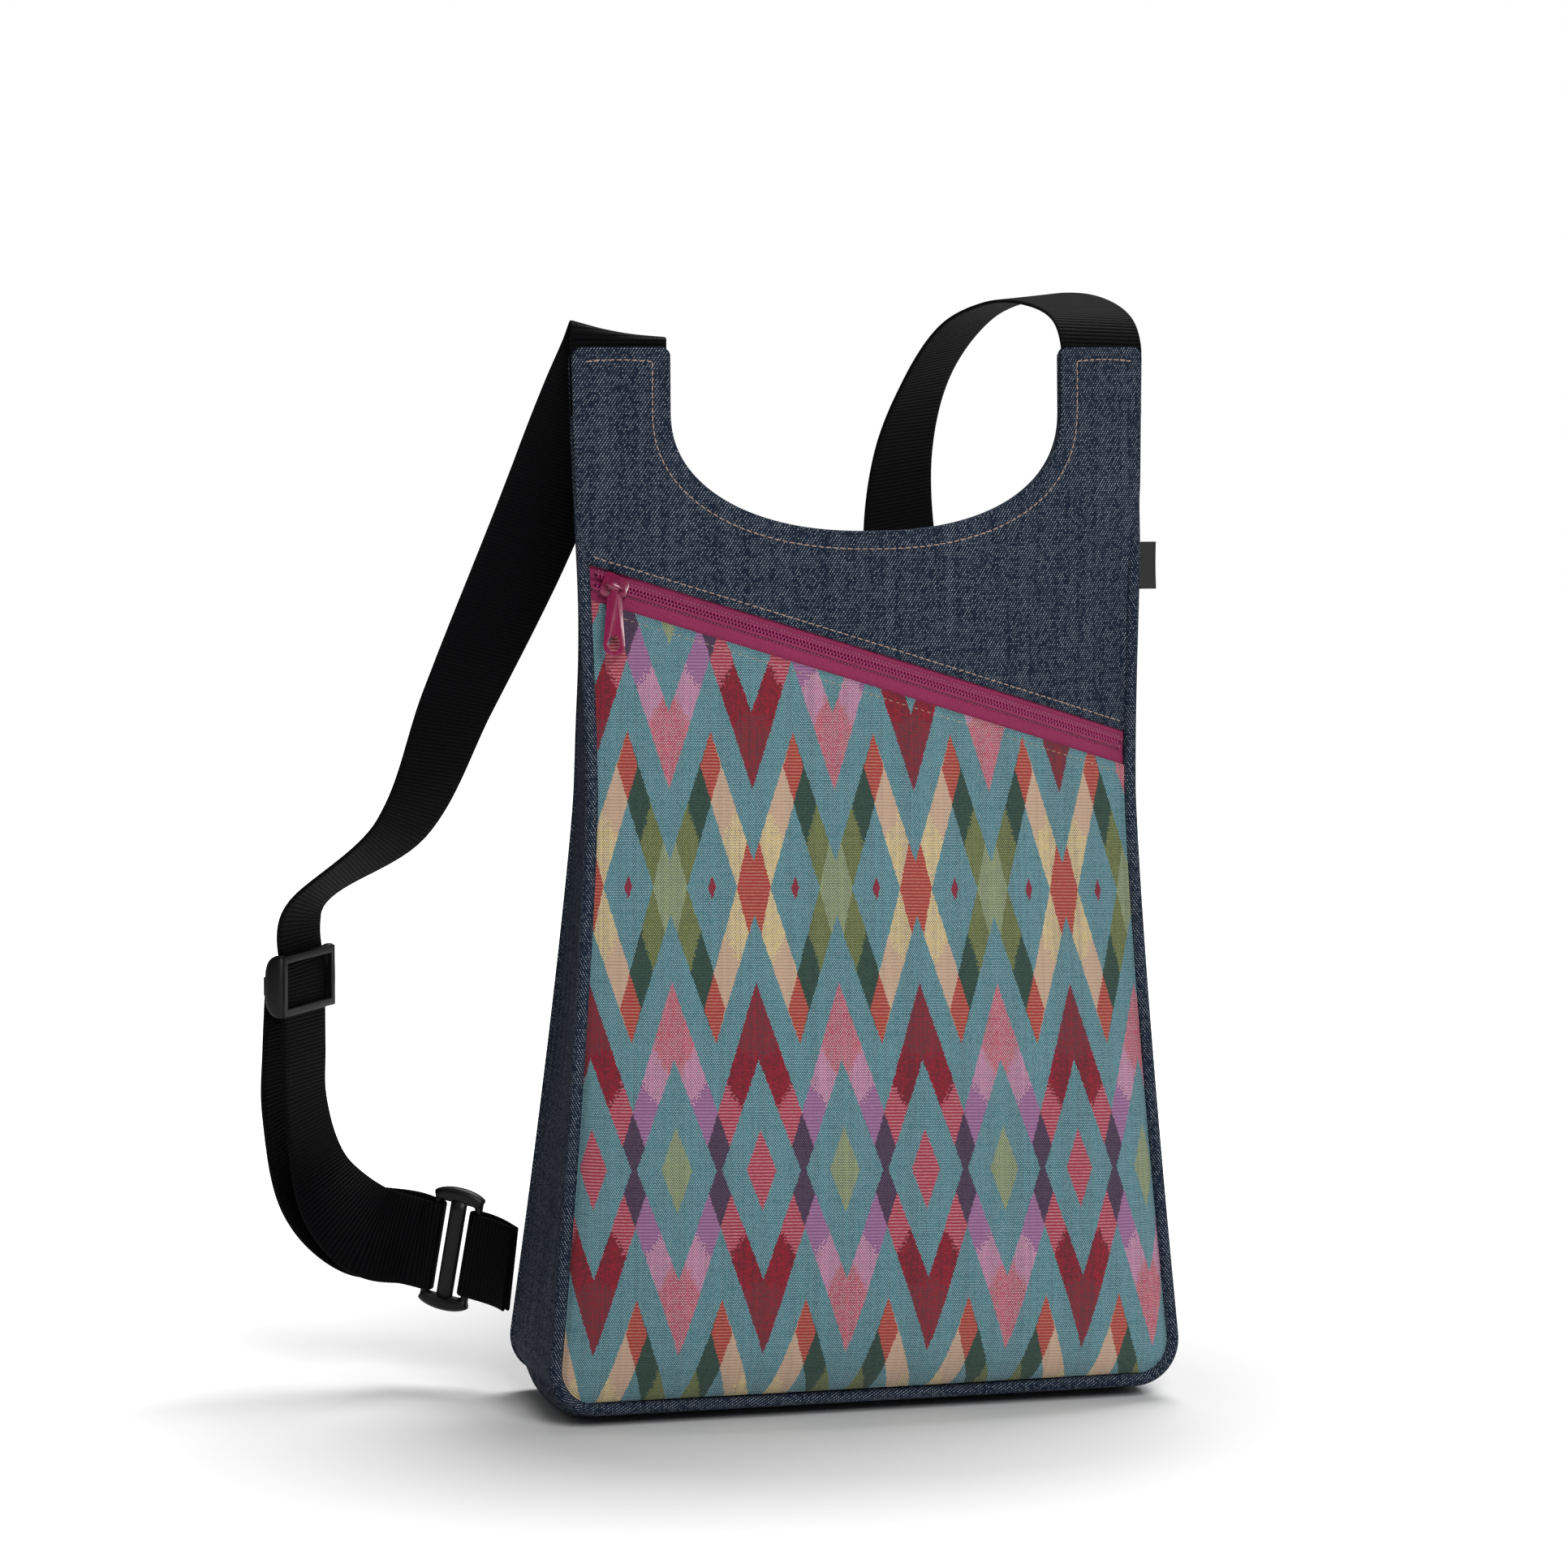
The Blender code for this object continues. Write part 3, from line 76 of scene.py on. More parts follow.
def linear(code: str) -> tuple[float, float, float, float]:
    """Return the linear colour of an sRGB hex code such as "#6FA3A3"."""
    parts = [int(code[i:i + 2], 16) / 255.0 for i in (1, 3, 5)]
    red, green, blue = [c / 12.92 if c <= 0.04045 else ((c + 0.055) / 1.055) ** 2.4 for c in parts]
    return red, green, blue, 1.0


def smoothstep(low: float, high: float, value: np.ndarray | float) -> np.ndarray:
    """Return a smooth ramp from 0 at low to 1 at high."""
    t = np.clip((np.asarray(value, dtype=float) - low) / (high - low), 0.0, 1.0)
    return t * t * (3.0 - 2.0 * t)


def unit(vector: Sequence[float]) -> np.ndarray:
    """Return the vector at length one."""
    array = np.asarray(vector, dtype=float)
    return array / np.linalg.norm(array, axis=-1, keepdims=True)


def stack(x: np.ndarray, y: np.ndarray, z: np.ndarray) -> np.ndarray:
    """Join coordinate grids into one grid of points."""
    return np.stack(np.broadcast_arrays(x, y, z), axis=-1)


def lengths(points: np.ndarray, axis: int) -> np.ndarray:
    """Return the running length along one axis of a grid of points."""
    steps = np.linalg.norm(np.diff(points, axis=axis), axis=-1)
    start_shape = list(steps.shape)
    start_shape[axis] = 1
    return np.concatenate([np.zeros(start_shape), np.cumsum(steps, axis=axis)], axis=axis)


def read_at(marks: np.ndarray, length: np.ndarray, values: np.ndarray) -> np.ndarray:
    """Return the values at marks along a line of the given running length."""
    return np.stack([np.interp(marks, length, values[:, i]) for i in range(values.shape[1])], axis=-1)


def ripples(x: np.ndarray, z: np.ndarray, waves: Sequence[Sequence[float]]) -> np.ndarray:
    """Return a sum of sine waves, each given by its x and z rates, its start and its height."""
    return sum(height * np.sin(x * across + z * up + start) for across, up, start, height in waves)


def spline(knots: Sequence[Sequence[float]], samples: int) -> np.ndarray:
    """Centripetal curve through knots, with as many samples in each span.

    Each span is the cubic whose end slopes come from its neighbours' chords, weighted by
    the square roots of their lengths.
    """
    knots = np.asarray(knots, dtype=float)
    pad = np.vstack([2 * knots[0] - knots[1], knots, 2 * knots[-1] - knots[-2]])
    pieces = []
    for i in range(len(knots) - 1):
        p0, p1, p2, p3 = pad[i:i + 4]
        t = np.linspace(0.0, 1.0, samples, endpoint=False)[:, None]
        d1 = max(np.linalg.norm(p1 - p0), 1e-6) ** 0.5
        d2 = max(np.linalg.norm(p2 - p1), 1e-6) ** 0.5
        d3 = max(np.linalg.norm(p3 - p2), 1e-6) ** 0.5
        m1 = ((p1 - p0) / d1 - (p2 - p0) / (d1 + d2) + (p2 - p1) / d2) * d2
        m2 = ((p2 - p1) / d2 - (p3 - p1) / (d2 + d3) + (p3 - p2) / d3) * d2
        h00, h10 = 2 * t**3 - 3 * t**2 + 1, t**3 - 2 * t**2 + t
        h01, h11 = -2 * t**3 + 3 * t**2, t**3 - t**2
        pieces.append(h00 * p1 + h10 * m1 + h01 * p2 + h11 * m2)
    pieces.append(knots[-1:])
    return np.vstack(pieces)


# Node trees


class Wire:
    """One number in a node tree, which takes part in arithmetic."""

    def __init__(self, graph: "Graph", socket: bpy.types.NodeSocket) -> None:
        """Keep the tree and the output socket."""
        self.graph = graph
        self.socket = socket

    def __add__(self, other: "Wire | float") -> "Wire":
        """Return the sum."""
        return self.graph.math("ADD", self, other)

    def __sub__(self, other: "Wire | float") -> "Wire":
        """Return the difference."""
        return self.graph.math("SUBTRACT", self, other)

    def __rsub__(self, other: float) -> "Wire":
        """Return the number less this one."""
        return self.graph.math("SUBTRACT", other, self)

    def __mul__(self, other: "Wire | float") -> "Wire":
        """Return the product."""
        return self.graph.math("MULTIPLY", self, other)

    def __truediv__(self, other: "Wire | float") -> "Wire":
        """Return the quotient."""
        return self.graph.math("DIVIDE", self, other)

    def __lt__(self, other: "Wire | float") -> "Wire":
        """Return 1 where this is less."""
        return self.graph.math("LESS_THAN", self, other)

    def __gt__(self, other: "Wire | float") -> "Wire":
        """Return 1 where this is greater."""
        return self.graph.math("GREATER_THAN", self, other)

    def __abs__(self) -> "Wire":
        """Return the size without its sign."""
        return self.graph.math("ABSOLUTE", self)

    def floor(self) -> "Wire":
        """Return the whole number below."""
        return self.graph.math("FLOOR", self)

    def wrapped(self, period: float) -> "Wire":
        """Return the remainder over a period, from 0 up."""
        return self.graph.math("FLOORED_MODULO", self, period)

    def away_from(self, place: float, period: float) -> "Wire":
        """Return the distance from the nearest of the places one period apart."""
        return abs((self - (place - period / 2)).wrapped(period) - period / 2)

    def lesser(self, other: "Wire | float") -> "Wire":
        """Return the smaller of two."""
        return self.graph.math("MINIMUM", self, other)

    def clamped(self) -> "Wire":
        """Return the number held between 0 and 1."""
        return self.graph.math("ADD", self, 0.0, clamp=True)


class Graph:
    """Node tree of a material or a group, written as arithmetic."""

    def __init__(self, tree: bpy.types.NodeTree) -> None:
        """Keep the tree, and later a group's two socket nodes."""
        self.tree = tree
        self.source: bpy.types.Node | None = None
        self.result: bpy.types.Node | None = None

    def node(self, kind: str, **settings: object) -> bpy.types.Node:
        """Add a node and set its properties."""
        made = self.tree.nodes.new(kind)
        for name, value in settings.items():
            setattr(made, name, value)
        return made

    def feed(self, target: bpy.types.NodeSocket, value: object) -> None:
        """Link a wire or socket to an input, or set the input to a value."""
        if isinstance(value, Wire):
            value = value.socket
        if isinstance(value, bpy.types.NodeSocket):
            self.tree.links.new(value, target)
        else:
            target.default_value = value

    def math(
        self, operation: str, first: object, second: object = 0.0, third: object = 0.0, clamp: bool = False,
    ) -> Wire:
        """Add a Math node and return its result."""
        made = self.node("ShaderNodeMath", operation=operation, use_clamp=clamp)
        for target, value in zip(made.inputs, (first, second, third)):
            self.feed(target, value)
        return Wire(self, made.outputs[0])

    def mix(self, share: object, low: object, high: object) -> bpy.types.NodeSocket:
        """Return the colour between two, by share."""
        made = self.node("ShaderNodeMix", data_type="RGBA")
        self.feed(made.inputs[0], share)
        self.feed(made.inputs[6], low)
        self.feed(made.inputs[7], high)
        return made.outputs[2]

    def vector(self, x: object, y: object, z: object = 0.0) -> bpy.types.NodeSocket:
        """Return a vector of three numbers."""
        made = self.node("ShaderNodeCombineXYZ")
        for target, value in zip(made.inputs, (x, y, z)):
            self.feed(target, value)
        return made.outputs[0]

    def split(self, vector: bpy.types.NodeSocket) -> tuple[Wire, Wire, Wire]:
        """Return the three numbers of a vector."""
        made = self.node("ShaderNodeSeparateXYZ")
        self.feed(made.inputs[0], vector)
        return Wire(self, made.outputs[0]), Wire(self, made.outputs[1]), Wire(self, made.outputs[2])

    def noise(self, vector: object, scale: float, detail: float = 2.0, roughness: float = 0.5) -> Wire:
        """Return smooth noise from 0 to 1."""
        made = self.node("ShaderNodeTexNoise")
        self.feed(made.inputs["Vector"], vector)
        made.inputs["Scale"].default_value = scale
        made.inputs["Detail"].default_value = detail
        made.inputs["Roughness"].default_value = roughness
        return Wire(self, made.outputs[0])

    def chance(self, x: object, y: object) -> Wire:
        """Return one random number per pair of whole numbers."""
        made = self.node("ShaderNodeTexWhiteNoise", noise_dimensions="2D")
        self.feed(made.inputs["Vector"], self.vector(x, y))
        return Wire(self, made.outputs["Value"])

    def cloth(self) -> bpy.types.NodeSocket:
        """Return the piece's own cloth coordinates, in metres."""
        return self.node("ShaderNodeUVMap", uv_map=CLOTH_MAP).outputs[0]

    def place(self) -> bpy.types.NodeSocket:
        """Return the Object coordinates, in metres."""
        return self.node("ShaderNodeTexCoord").outputs["Object"]

    def use(self, group: bpy.types.NodeTree, **values: object) -> bpy.types.Node:
        """Place a node group with its own values."""
        made = self.node("ShaderNodeGroup", node_tree=group)
        for name, value in values.items():
            self.feed(made.inputs[name.replace("_", " ").capitalize()], value)
        return made

    def out(self, node: bpy.types.Node, name: str) -> Wire:
        """Return a node's named output as a number."""
        return Wire(self, node.outputs[name])


def new_group(
    name: str, inputs: Sequence[tuple[str, str, object]], outputs: Sequence[tuple[str, str]],
) -> Graph:
    """Make a shader node group with named sockets.

    Args:
        name: the group's name.
        inputs: name, socket type and default of each input.
        outputs: name and socket type of each output.

    Returns:
        The graph of the new group, with its two socket nodes as ``source`` and ``result``.
    """
    tree = bpy.data.node_groups.new(name, "ShaderNodeTree")
    for label, kind, default in inputs:
        socket = tree.interface.new_socket(name=label, in_out="INPUT", socket_type=kind)
        if default is not None:
            socket.default_value = default
    for label, kind in outputs:
        tree.interface.new_socket(name=label, in_out="OUTPUT", socket_type=kind)
    graph = Graph(tree)
    graph.source = graph.node("NodeGroupInput")
    graph.result = graph.node("NodeGroupOutput")
    return graph


FLOAT = "NodeSocketFloat"
VECTOR = "NodeSocketVector"


def thread_cells_group() -> bpy.types.NodeTree:
    """Make the group that lays a slanted grid of thread dots over cloth coordinates.

    The place is divided into cells of one pitch each way; odd rows move over by a share,
    and each cell has a soft round dot and a random number.

    Returns:
        The node group.
    """
    name = "thread cells"
    if name in bpy.data.node_groups:
        return bpy.data.node_groups[name]
    graph = new_group(
        name,
        [("Cloth", VECTOR, None), ("Across", FLOAT, 0.001), ("Along", FLOAT, 0.001),
         ("Slant", FLOAT, 0.0), ("Stagger", FLOAT, 0.5), ("Size", FLOAT, 0.36), ("Narrow", FLOAT, 1.0)],
        [("Dot", FLOAT), ("Chance", FLOAT), ("Row", FLOAT)],
    )
    source = graph.source
    x, y, _ = graph.split(source.outputs["Cloth"])
    rows = y / graph.out(source, "Along")
    row = rows.floor()
    shift = row.wrapped(2.0) * graph.out(source, "Stagger")
    columns = (x + y * graph.out(source, "Slant")) / graph.out(source, "Across") + shift
    column = columns.floor()
    dx = (columns - column - 0.5) * graph.out(source, "Narrow")
    dy = rows - row - 0.5
    away = graph.math("SQRT", dx * dx + dy * dy)
    dot = ((graph.out(source, "Size") - away) / 0.16).clamped()
    graph.feed(graph.result.inputs["Dot"], dot)
    graph.feed(graph.result.inputs["Chance"], graph.chance(column, row))
    graph.feed(graph.result.inputs["Row"], rows - row)
    return graph.tree


def broad_tone_group() -> bpy.types.NodeTree:
    """Make the group of slow light and dark patches that handling leaves on a surface.

    Returns:
        The node group, whose Tone swings about 1 by the given amount.
    """
    name = "broad tone"
    if name in bpy.data.node_groups:
        return bpy.data.node_groups[name]
    graph = new_group(
        name,
        [("Place", VECTOR, None), ("Patch scale", FLOAT, 20.0), ("Amount", FLOAT, 0.1)],
        [("Tone", FLOAT)],
    )
    source = graph.source
    made = graph.node("ShaderNodeTexNoise")
    graph.feed(made.inputs["Vector"], source.outputs["Place"])
    graph.feed(made.inputs["Scale"], source.outputs["Patch scale"])
    made.inputs["Detail"].default_value = 3.0
    swing = (Wire(graph, made.outputs[0]) - 0.5) * 2.0
    graph.feed(graph.result.inputs["Tone"], swing * graph.out(source, "Amount") + 1.0)
    return graph.tree


class Finish:
    """A material that is built once and shared by the pieces that wear it."""

    name = "finish"
    slot = "denim"
    roughness = 0.8

    def shade(self, graph: Graph, shader: bpy.types.Node) -> None:
        """Build the nodes that feed the shader."""
        raise NotImplementedError

    def material(self) -> bpy.types.Material:
        """Return the material, made on first use."""
        if self.name in bpy.data.materials:
            return bpy.data.materials[self.name]
        made = bpy.data.materials.new(self.name)
        made.use_nodes = True
        shader = made.node_tree.nodes["Principled BSDF"]
        shader.inputs["Roughness"].default_value = self.roughness
        self.shade(Graph(made.node_tree), shader)
        return made

    def bump(
        self, graph: Graph, shader: bpy.types.Node, height: object, depth: float, strength: float,
    ) -> None:
        """Feed the shader's normal from a height in units of depth."""
        made = graph.node("ShaderNodeBump")
        made.inputs["Strength"].default_value = strength
        made.inputs["Distance"].default_value = depth
        graph.feed(made.inputs["Height"], height)
        graph.feed(shader.inputs["Normal"], made.outputs[0])

    def toned(self, graph: Graph, colour: object, patch_scale: float, amount: float) -> bpy.types.NodeSocket:
        """Return a colour made lighter and darker in broad patches."""
        tone = graph.use(broad_tone_group(), place=graph.place(), patch_scale=patch_scale, amount=amount)
        made = graph.node("ShaderNodeMix", data_type="RGBA", blend_type="MULTIPLY")
        made.inputs[0].default_value = 1.0
        graph.feed(made.inputs[6], colour)
        level = graph.out(tone, "Tone")
        joined = graph.node("ShaderNodeCombineColor")
        for target in joined.inputs[:3]:
            graph.feed(target, level)
        graph.feed(made.inputs[7], joined.outputs[0])
        return made.outputs[2]


@dataclass(frozen=True)
class Denim(Finish):
    """Dark blue twill with pale specks along steep slanting lines."""

    name: str = "blue denim twill"
    slot: str = "denim"
    roughness: float = 0.92
    ground: str = "#0D1727"
    rib: str = "#1C2B3F"
    speck: str = "#B0B8BE"
    line_pitch: float = 0.00122
    speck_pitch: float = 0.00092
    slant: float = -0.62

    def shade(self, graph: Graph, shader: bpy.types.Node) -> None:
        """Lay specks of chance strength on twill lines, over slow vertical slubs."""
        cloth = graph.cloth()
        cells = graph.use(
            thread_cells_group(), cloth=cloth, across=self.line_pitch, along=self.speck_pitch,
            slant=self.slant, stagger=0.0, size=0.42, narrow=1.9,
        )
        x, y, _ = graph.split(cloth)
        lines = (x + y * self.slant) / self.line_pitch
        line = abs(lines - lines.floor() - 0.5)
        slub = graph.noise(graph.vector(x * 260.0, y * 9.0), 1.0, 3.0)
        weft = graph.noise(graph.vector(x * 12.0, y * 420.0), 1.0, 2.0)
        chance = graph.out(cells, "Chance")
        strength = (chance * 0.9 + slub * 1.1 + weft * 0.7 - 0.95).clamped()
        speck = graph.out(cells, "Dot") * strength
        rib = (1.0 - line * 2.0).clamped()
        base = graph.mix((rib * 0.55 + slub * 0.5 - 0.12).clamped(), linear(self.ground), linear(self.rib))
        colour = graph.mix(speck * 0.85, base, linear(self.speck))
        graph.feed(shader.inputs["Base Color"], self.toned(graph, colour, 16.0, 0.16))
        shader.inputs["Specular IOR Level"].default_value = 0.2
        self.bump(graph, shader, rib * 0.6 + speck * 0.6, 0.0003, 0.55)


@dataclass(frozen=True)
class Yarn:
    """Two threads of one woven field: the ground and the one that lies over it."""

    ground: str
    over: str
    striped: float = 0.0


@dataclass(frozen=True)
class Lattice(Finish):
    """Upholstery jacquard of overlapping diamonds, from its drawing in millimetres."""

    name: str = "lattice jacquard"
    slot: str = "jacquard"
    roughness: float = 0.88
    column: float = 35.4
    red_column: float = -52.5
    tall_row: float = 110.0
    short_row: float = 226.6
    repeat: float = 234.8
    shear: float = 0.0155
    pick: float = 0.68
    end: float = 0.98
    stripe: float = 1.36
    teal: Yarn = Yarn("#3A7680", "#93BBC4")
    maroon: Yarn = Yarn("#9A081C", "#743844")
    crimson: Yarn = Yarn("#AA0828", "#6A071C")
    rose: Yarn = Yarn("#A02038", "#D08C98", 1.0)
    pink: Yarn = Yarn("#BC3050", "#E6B0B8")
    lilac: Yarn = Yarn("#BA749A", "#E7B7CE")
    mauve: Yarn = Yarn("#8C5C86", "#B382AE", 1.0)
    purple: Yarn = Yarn("#371F3F", "#6C506A")
    leaf: Yarn = Yarn("#7F9360", "#B7BC9F")
    coral: Yarn = Yarn("#A52A2B", "#C27F66", 1.0)
    cream: Yarn = Yarn("#C7A084", "#D5C0A9", 0.6)
    yellow: Yarn = Yarn("#D7BD76", "#EEDAC0")
    bottle: Yarn = Yarn("#18372D", "#456350")
    olive: Yarn = Yarn("#596535", "#9A9F62")
    wine: Yarn = Yarn("#7D1128", "#B5314D")

    def shade(self, graph: Graph, shader: bpy.types.Node) -> None:
        """Choose each field's two yarns from the distances to the nearest column and row."""
        x, y, _ = graph.split(graph.cloth())
        picks = y * (1000.0 / self.pick)
        pick = picks.floor()
        v = (pick + 0.5) * self.pick
        s = x * 1000.0 + (v - 108.0) * self.shear
        ragged = (graph.chance(pick, 3.0) - 0.5) * 0.5
        s = s + ragged
        half = self.column
        u_red = s.away_from(self.red_column, 2 * half)
        u_lilac = half - u_red
        u = u_red.lesser(u_lilac)
        red = u_red < half / 2
        tall = v.away_from(self.tall_row, self.repeat)
        short = v.away_from(self.short_row, self.repeat)
        end = (x * (1000.0 / self.end) + pick.wrapped(2.0) * 0.5).floor()
        stray = (graph.chance(end, pick) - 0.5) * 5.0
        fields: list[tuple[Wire, Yarn]] = []

        band = (u + tall / 3.04 < 25.5) * (u + tall / 2.75 > 16.6)
        crossed = (half - u) + tall / 3.04 < 25.5
        not_red = 1.0 - red
        fields.append((band * red, self.rose))
        fields.append((band * red * (tall + stray > u * 1.7 + 12.8), self.crimson))
        fields.append((band * red * (tall + stray > u * 0.6 + 45.8), self.maroon))
        fields.append((band * not_red, self.mauve))
        fields.append((band * not_red * (tall + stray > u * 1.3 + 17.8), self.lilac))
        fields.append((band * not_red * (tall + stray > u * 1.8 + 34.6), self.pink))
        fields.append((band * crossed, self.purple))
        fields.append(((u + tall / 2.7 < 6.2) * red, self.rose))
        fields.append(((u + tall / 2.8 < 6.4) * not_red, self.leaf))

        w = half / 2 - u
        ribbon = (w + short / 3.02 < 21.35) * (w + short / 3.3 > 10.6)
        fields.append((ribbon * red, self.cream))
        fields.append((ribbon * red * (short + stray + u * 1.8 < 43.6), self.yellow))
        fields.append((ribbon * not_red, self.bottle))
        fields.append((ribbon * not_red * (short + stray + u * 3.4 < 60.8), self.olive))
        fields.append((ribbon * (w + abs(short - 50.2) / 3.3 < 4.4), self.coral))
        knot = ribbon * (u + short / 4.2 < 7.2)
        fields.append((knot * red, self.coral))
        fields.append((knot * not_red, self.leaf))
        fields.append((w + short / 2.9 < 1.7, self.wine))

        ground: object = linear(self.teal.ground)
        over: object = linear(self.teal.over)
        striped: object = 0.0
        for mask, yarn in fields:
            ground = graph.mix(mask, ground, linear(yarn.ground))
            over = graph.mix(mask, over, linear(yarn.over))
            striped = mask * yarn.striped if isinstance(striped, float) else (
                striped * (1.0 - mask) + mask * yarn.striped
            )
        cells = graph.use(
            thread_cells_group(), cloth=graph.vector(x, y), across=self.end / 1000.0,
            along=self.pick / 1000.0, slant=0.0, stagger=0.5, size=0.42,
        )
        dot = graph.out(cells, "Dot")
        chance = graph.out(cells, "Chance")
        line = (y * (1000.0 / self.stripe)).wrapped(1.0)
        stripe = ((0.27 - abs(line - 0.5)) / 0.12).clamped()
        weft = graph.chance(pick, 7.0) - 0.5
        warp = graph.chance((x * (1000.0 / self.end)).floor(), 11.0) - 0.5
        slub = graph.noise(graph.vector(x * 90.0, y * 520.0), 1.0, 2.0) - 0.5
        dots = dot * (chance * 0.8 + 0.48 + weft * 0.25 + slub * 0.5).clamped()
        thread = dots * (1.0 - striped) + (stripe * (chance * 0.35 + 0.45) + dots * 0.12) * striped
        gap = (1.0 - dot) * (chance * 0.40 + 0.36 + warp * 0.35 - slub * 0.3).clamped()
        shaded = graph.mix(gap * (1.0 - striped * 0.6), ground, linear("#14242C"))
        colour = graph.mix(thread, shaded, over)
        graph.feed(shader.inputs["Base Color"], self.toned(graph, colour, 14.0, 0.07))
        shader.inputs["Sheen Weight"].default_value = 0.10
        self.bump(graph, shader, dot * 0.6 + stripe * striped * 0.8, 0.00028, 0.6)


@dataclass(frozen=True)
class ZipCloth(Finish):
    """Magenta zip tape of fine herringbone weave."""

    name: str = "zip tape"
    slot: str = "zip_tape"
    roughness: float = 0.75
    ground: str = "#7E0A42"
    over: str = "#B82C6E"

    def shade(self, graph: Graph, shader: bpy.types.Node) -> None:
        """Lay short slanted stitches in rows, every other row moved over by half."""
        cells = graph.use(
            thread_cells_group(), cloth=graph.cloth(), across=0.0008, along=0.00062,
            slant=0.6, stagger=0.5, size=0.44,
        )
        weave = graph.out(cells, "Dot") * (graph.out(cells, "Chance") * 0.5 + 0.5)
        colour = graph.mix(weave * 0.75, linear(self.ground), linear(self.over))
        graph.feed(shader.inputs["Base Color"], self.toned(graph, colour, 60.0, 0.08))
        shader.inputs["Sheen Weight"].default_value = 0.25
        self.bump(graph, shader, weave, 0.00025, 0.5)


@dataclass(frozen=True)
class Coil(Finish):
    """Bright nylon monofilament of the zip's teeth."""

    name: str = "zip coil"
    slot: str = "zip_tape"
    roughness: float = 0.34
    colour: str = "#7C0A42"

    def shade(self, graph: Graph, shader: bpy.types.Node) -> None:
        """Vary a glossy pink a little from turn to turn."""
        tone = graph.noise(graph.place(), 900.0, 1.0)
        colour = graph.mix(tone, linear(self.colour), linear("#94185A"))
        graph.feed(shader.inputs["Base Color"], colour)
        shader.inputs["Coat Weight"].default_value = 0.3
        shader.inputs["Coat Roughness"].default_value = 0.25


@dataclass(frozen=True)
class Webbing(Finish):
    """Black ribbed webbing, its ribs across the strap."""

    name: str = "ribbed webbing"
    slot: str = "webbing"
    roughness: float = 0.68
    ground: str = "#020203"
    rib: str = "#0A0A0E"
    rib_pitch: float = 0.0017
    thread_pitch: float = 0.0011

    def shade(self, graph: Graph, shader: bpy.types.Node) -> None:
        """Raise a rounded rib each pitch along the strap, notched by the warp threads."""
        x, y, _ = graph.split(graph.cloth())
        rib = abs(graph.math("SINE", y * (math.pi / self.rib_pitch)))
        warp = abs(graph.math("SINE", x * (math.pi / self.thread_pitch)))
        grain = graph.noise(graph.vector(x * 900.0, y * 300.0), 1.0, 2.0)
        height = rib * 0.75 + warp * 0.25
        share = (height * 0.8 + grain * 0.5 - 0.45).clamped()
        colour = graph.mix(share, linear(self.ground), linear(self.rib))
        graph.feed(shader.inputs["Base Color"], self.toned(graph, colour, 30.0, 0.12))
        graph.feed(shader.inputs["Roughness"], 0.80 - height * 0.22)
        shader.inputs["Specular IOR Level"].default_value = 0.07
        self.bump(graph, shader, height, 0.0005, 0.8)


@dataclass(frozen=True)
class Moulded(Finish):
    """Black moulded plastic with a fine spark-eroded grain."""

    name: str = "moulded plastic"
    slot: str = "plastic"
    roughness: float = 0.42

    def shade(self, graph: Graph, shader: bpy.types.Node) -> None:
        """Add a fine grain and slightly polished patches."""
        place = graph.place()
        grain = graph.noise(place, 2600.0, 2.0)
        polish = graph.noise(place, 90.0, 3.0)
        colour = graph.mix(polish, linear("#030304"), linear("#08080A"))
        graph.feed(shader.inputs["Base Color"], colour)
        graph.feed(shader.inputs["Roughness"], polish * 0.16 + 0.34)
        shader.inputs["Specular IOR Level"].default_value = 0.30
        self.bump(graph, shader, grain, 0.00008, 0.35)


@dataclass(frozen=True)
class Enamel(Finish):
    """Gloss magenta paint on the zip's metal."""

    name: str = "magenta enamel"
    slot: str = "zip_metal"
    roughness: float = 0.22

    def shade(self, graph: Graph, shader: bpy.types.Node) -> None:
        """Vary the paint's depth a little and let a coat carry the highlights."""
        place = graph.place()
        pool = graph.noise(place, 320.0, 3.0)
        colour = graph.mix(pool, linear("#78063A"), linear("#8E0E48"))
        graph.feed(shader.inputs["Base Color"], colour)
        graph.feed(shader.inputs["Roughness"], pool * 0.12 + 0.18)
        shader.inputs["Coat Weight"].default_value = 0.7
        shader.inputs["Coat Roughness"].default_value = 0.10
        self.bump(graph, shader, graph.noise(place, 1500.0, 2.0), 0.00005, 0.3)


@dataclass(frozen=True)
class Thread(Finish):
    """Twisted tan sewing thread."""

    name: str = "tan thread"
    slot: str = "denim"
    roughness: float = 0.6
    light: str = "#C8A58E"
    dark: str = "#8E6B58"

    def shade(self, graph: Graph, shader: bpy.types.Node) -> None:
        """Run fine slanted plies along the thread."""
        x, y, _ = graph.split(graph.cloth())
        ply = abs(graph.math("SINE", (x + y * 0.6) * 5200.0))
        colour = graph.mix(ply, linear(self.dark), linear(self.light))
        graph.feed(shader.inputs["Base Color"], colour)
        shader.inputs["Sheen Weight"].default_value = 0.2
        self.bump(graph, shader, ply, 0.0001, 0.6)


@dataclass(frozen=True)
class CoilThread(Thread):
    """Pale pink thread that sews the coil to its tape."""

    name: str = "pink thread"
    slot: str = "zip_tape"
    light: str = "#D880AC"
    dark: str = "#A83C76"


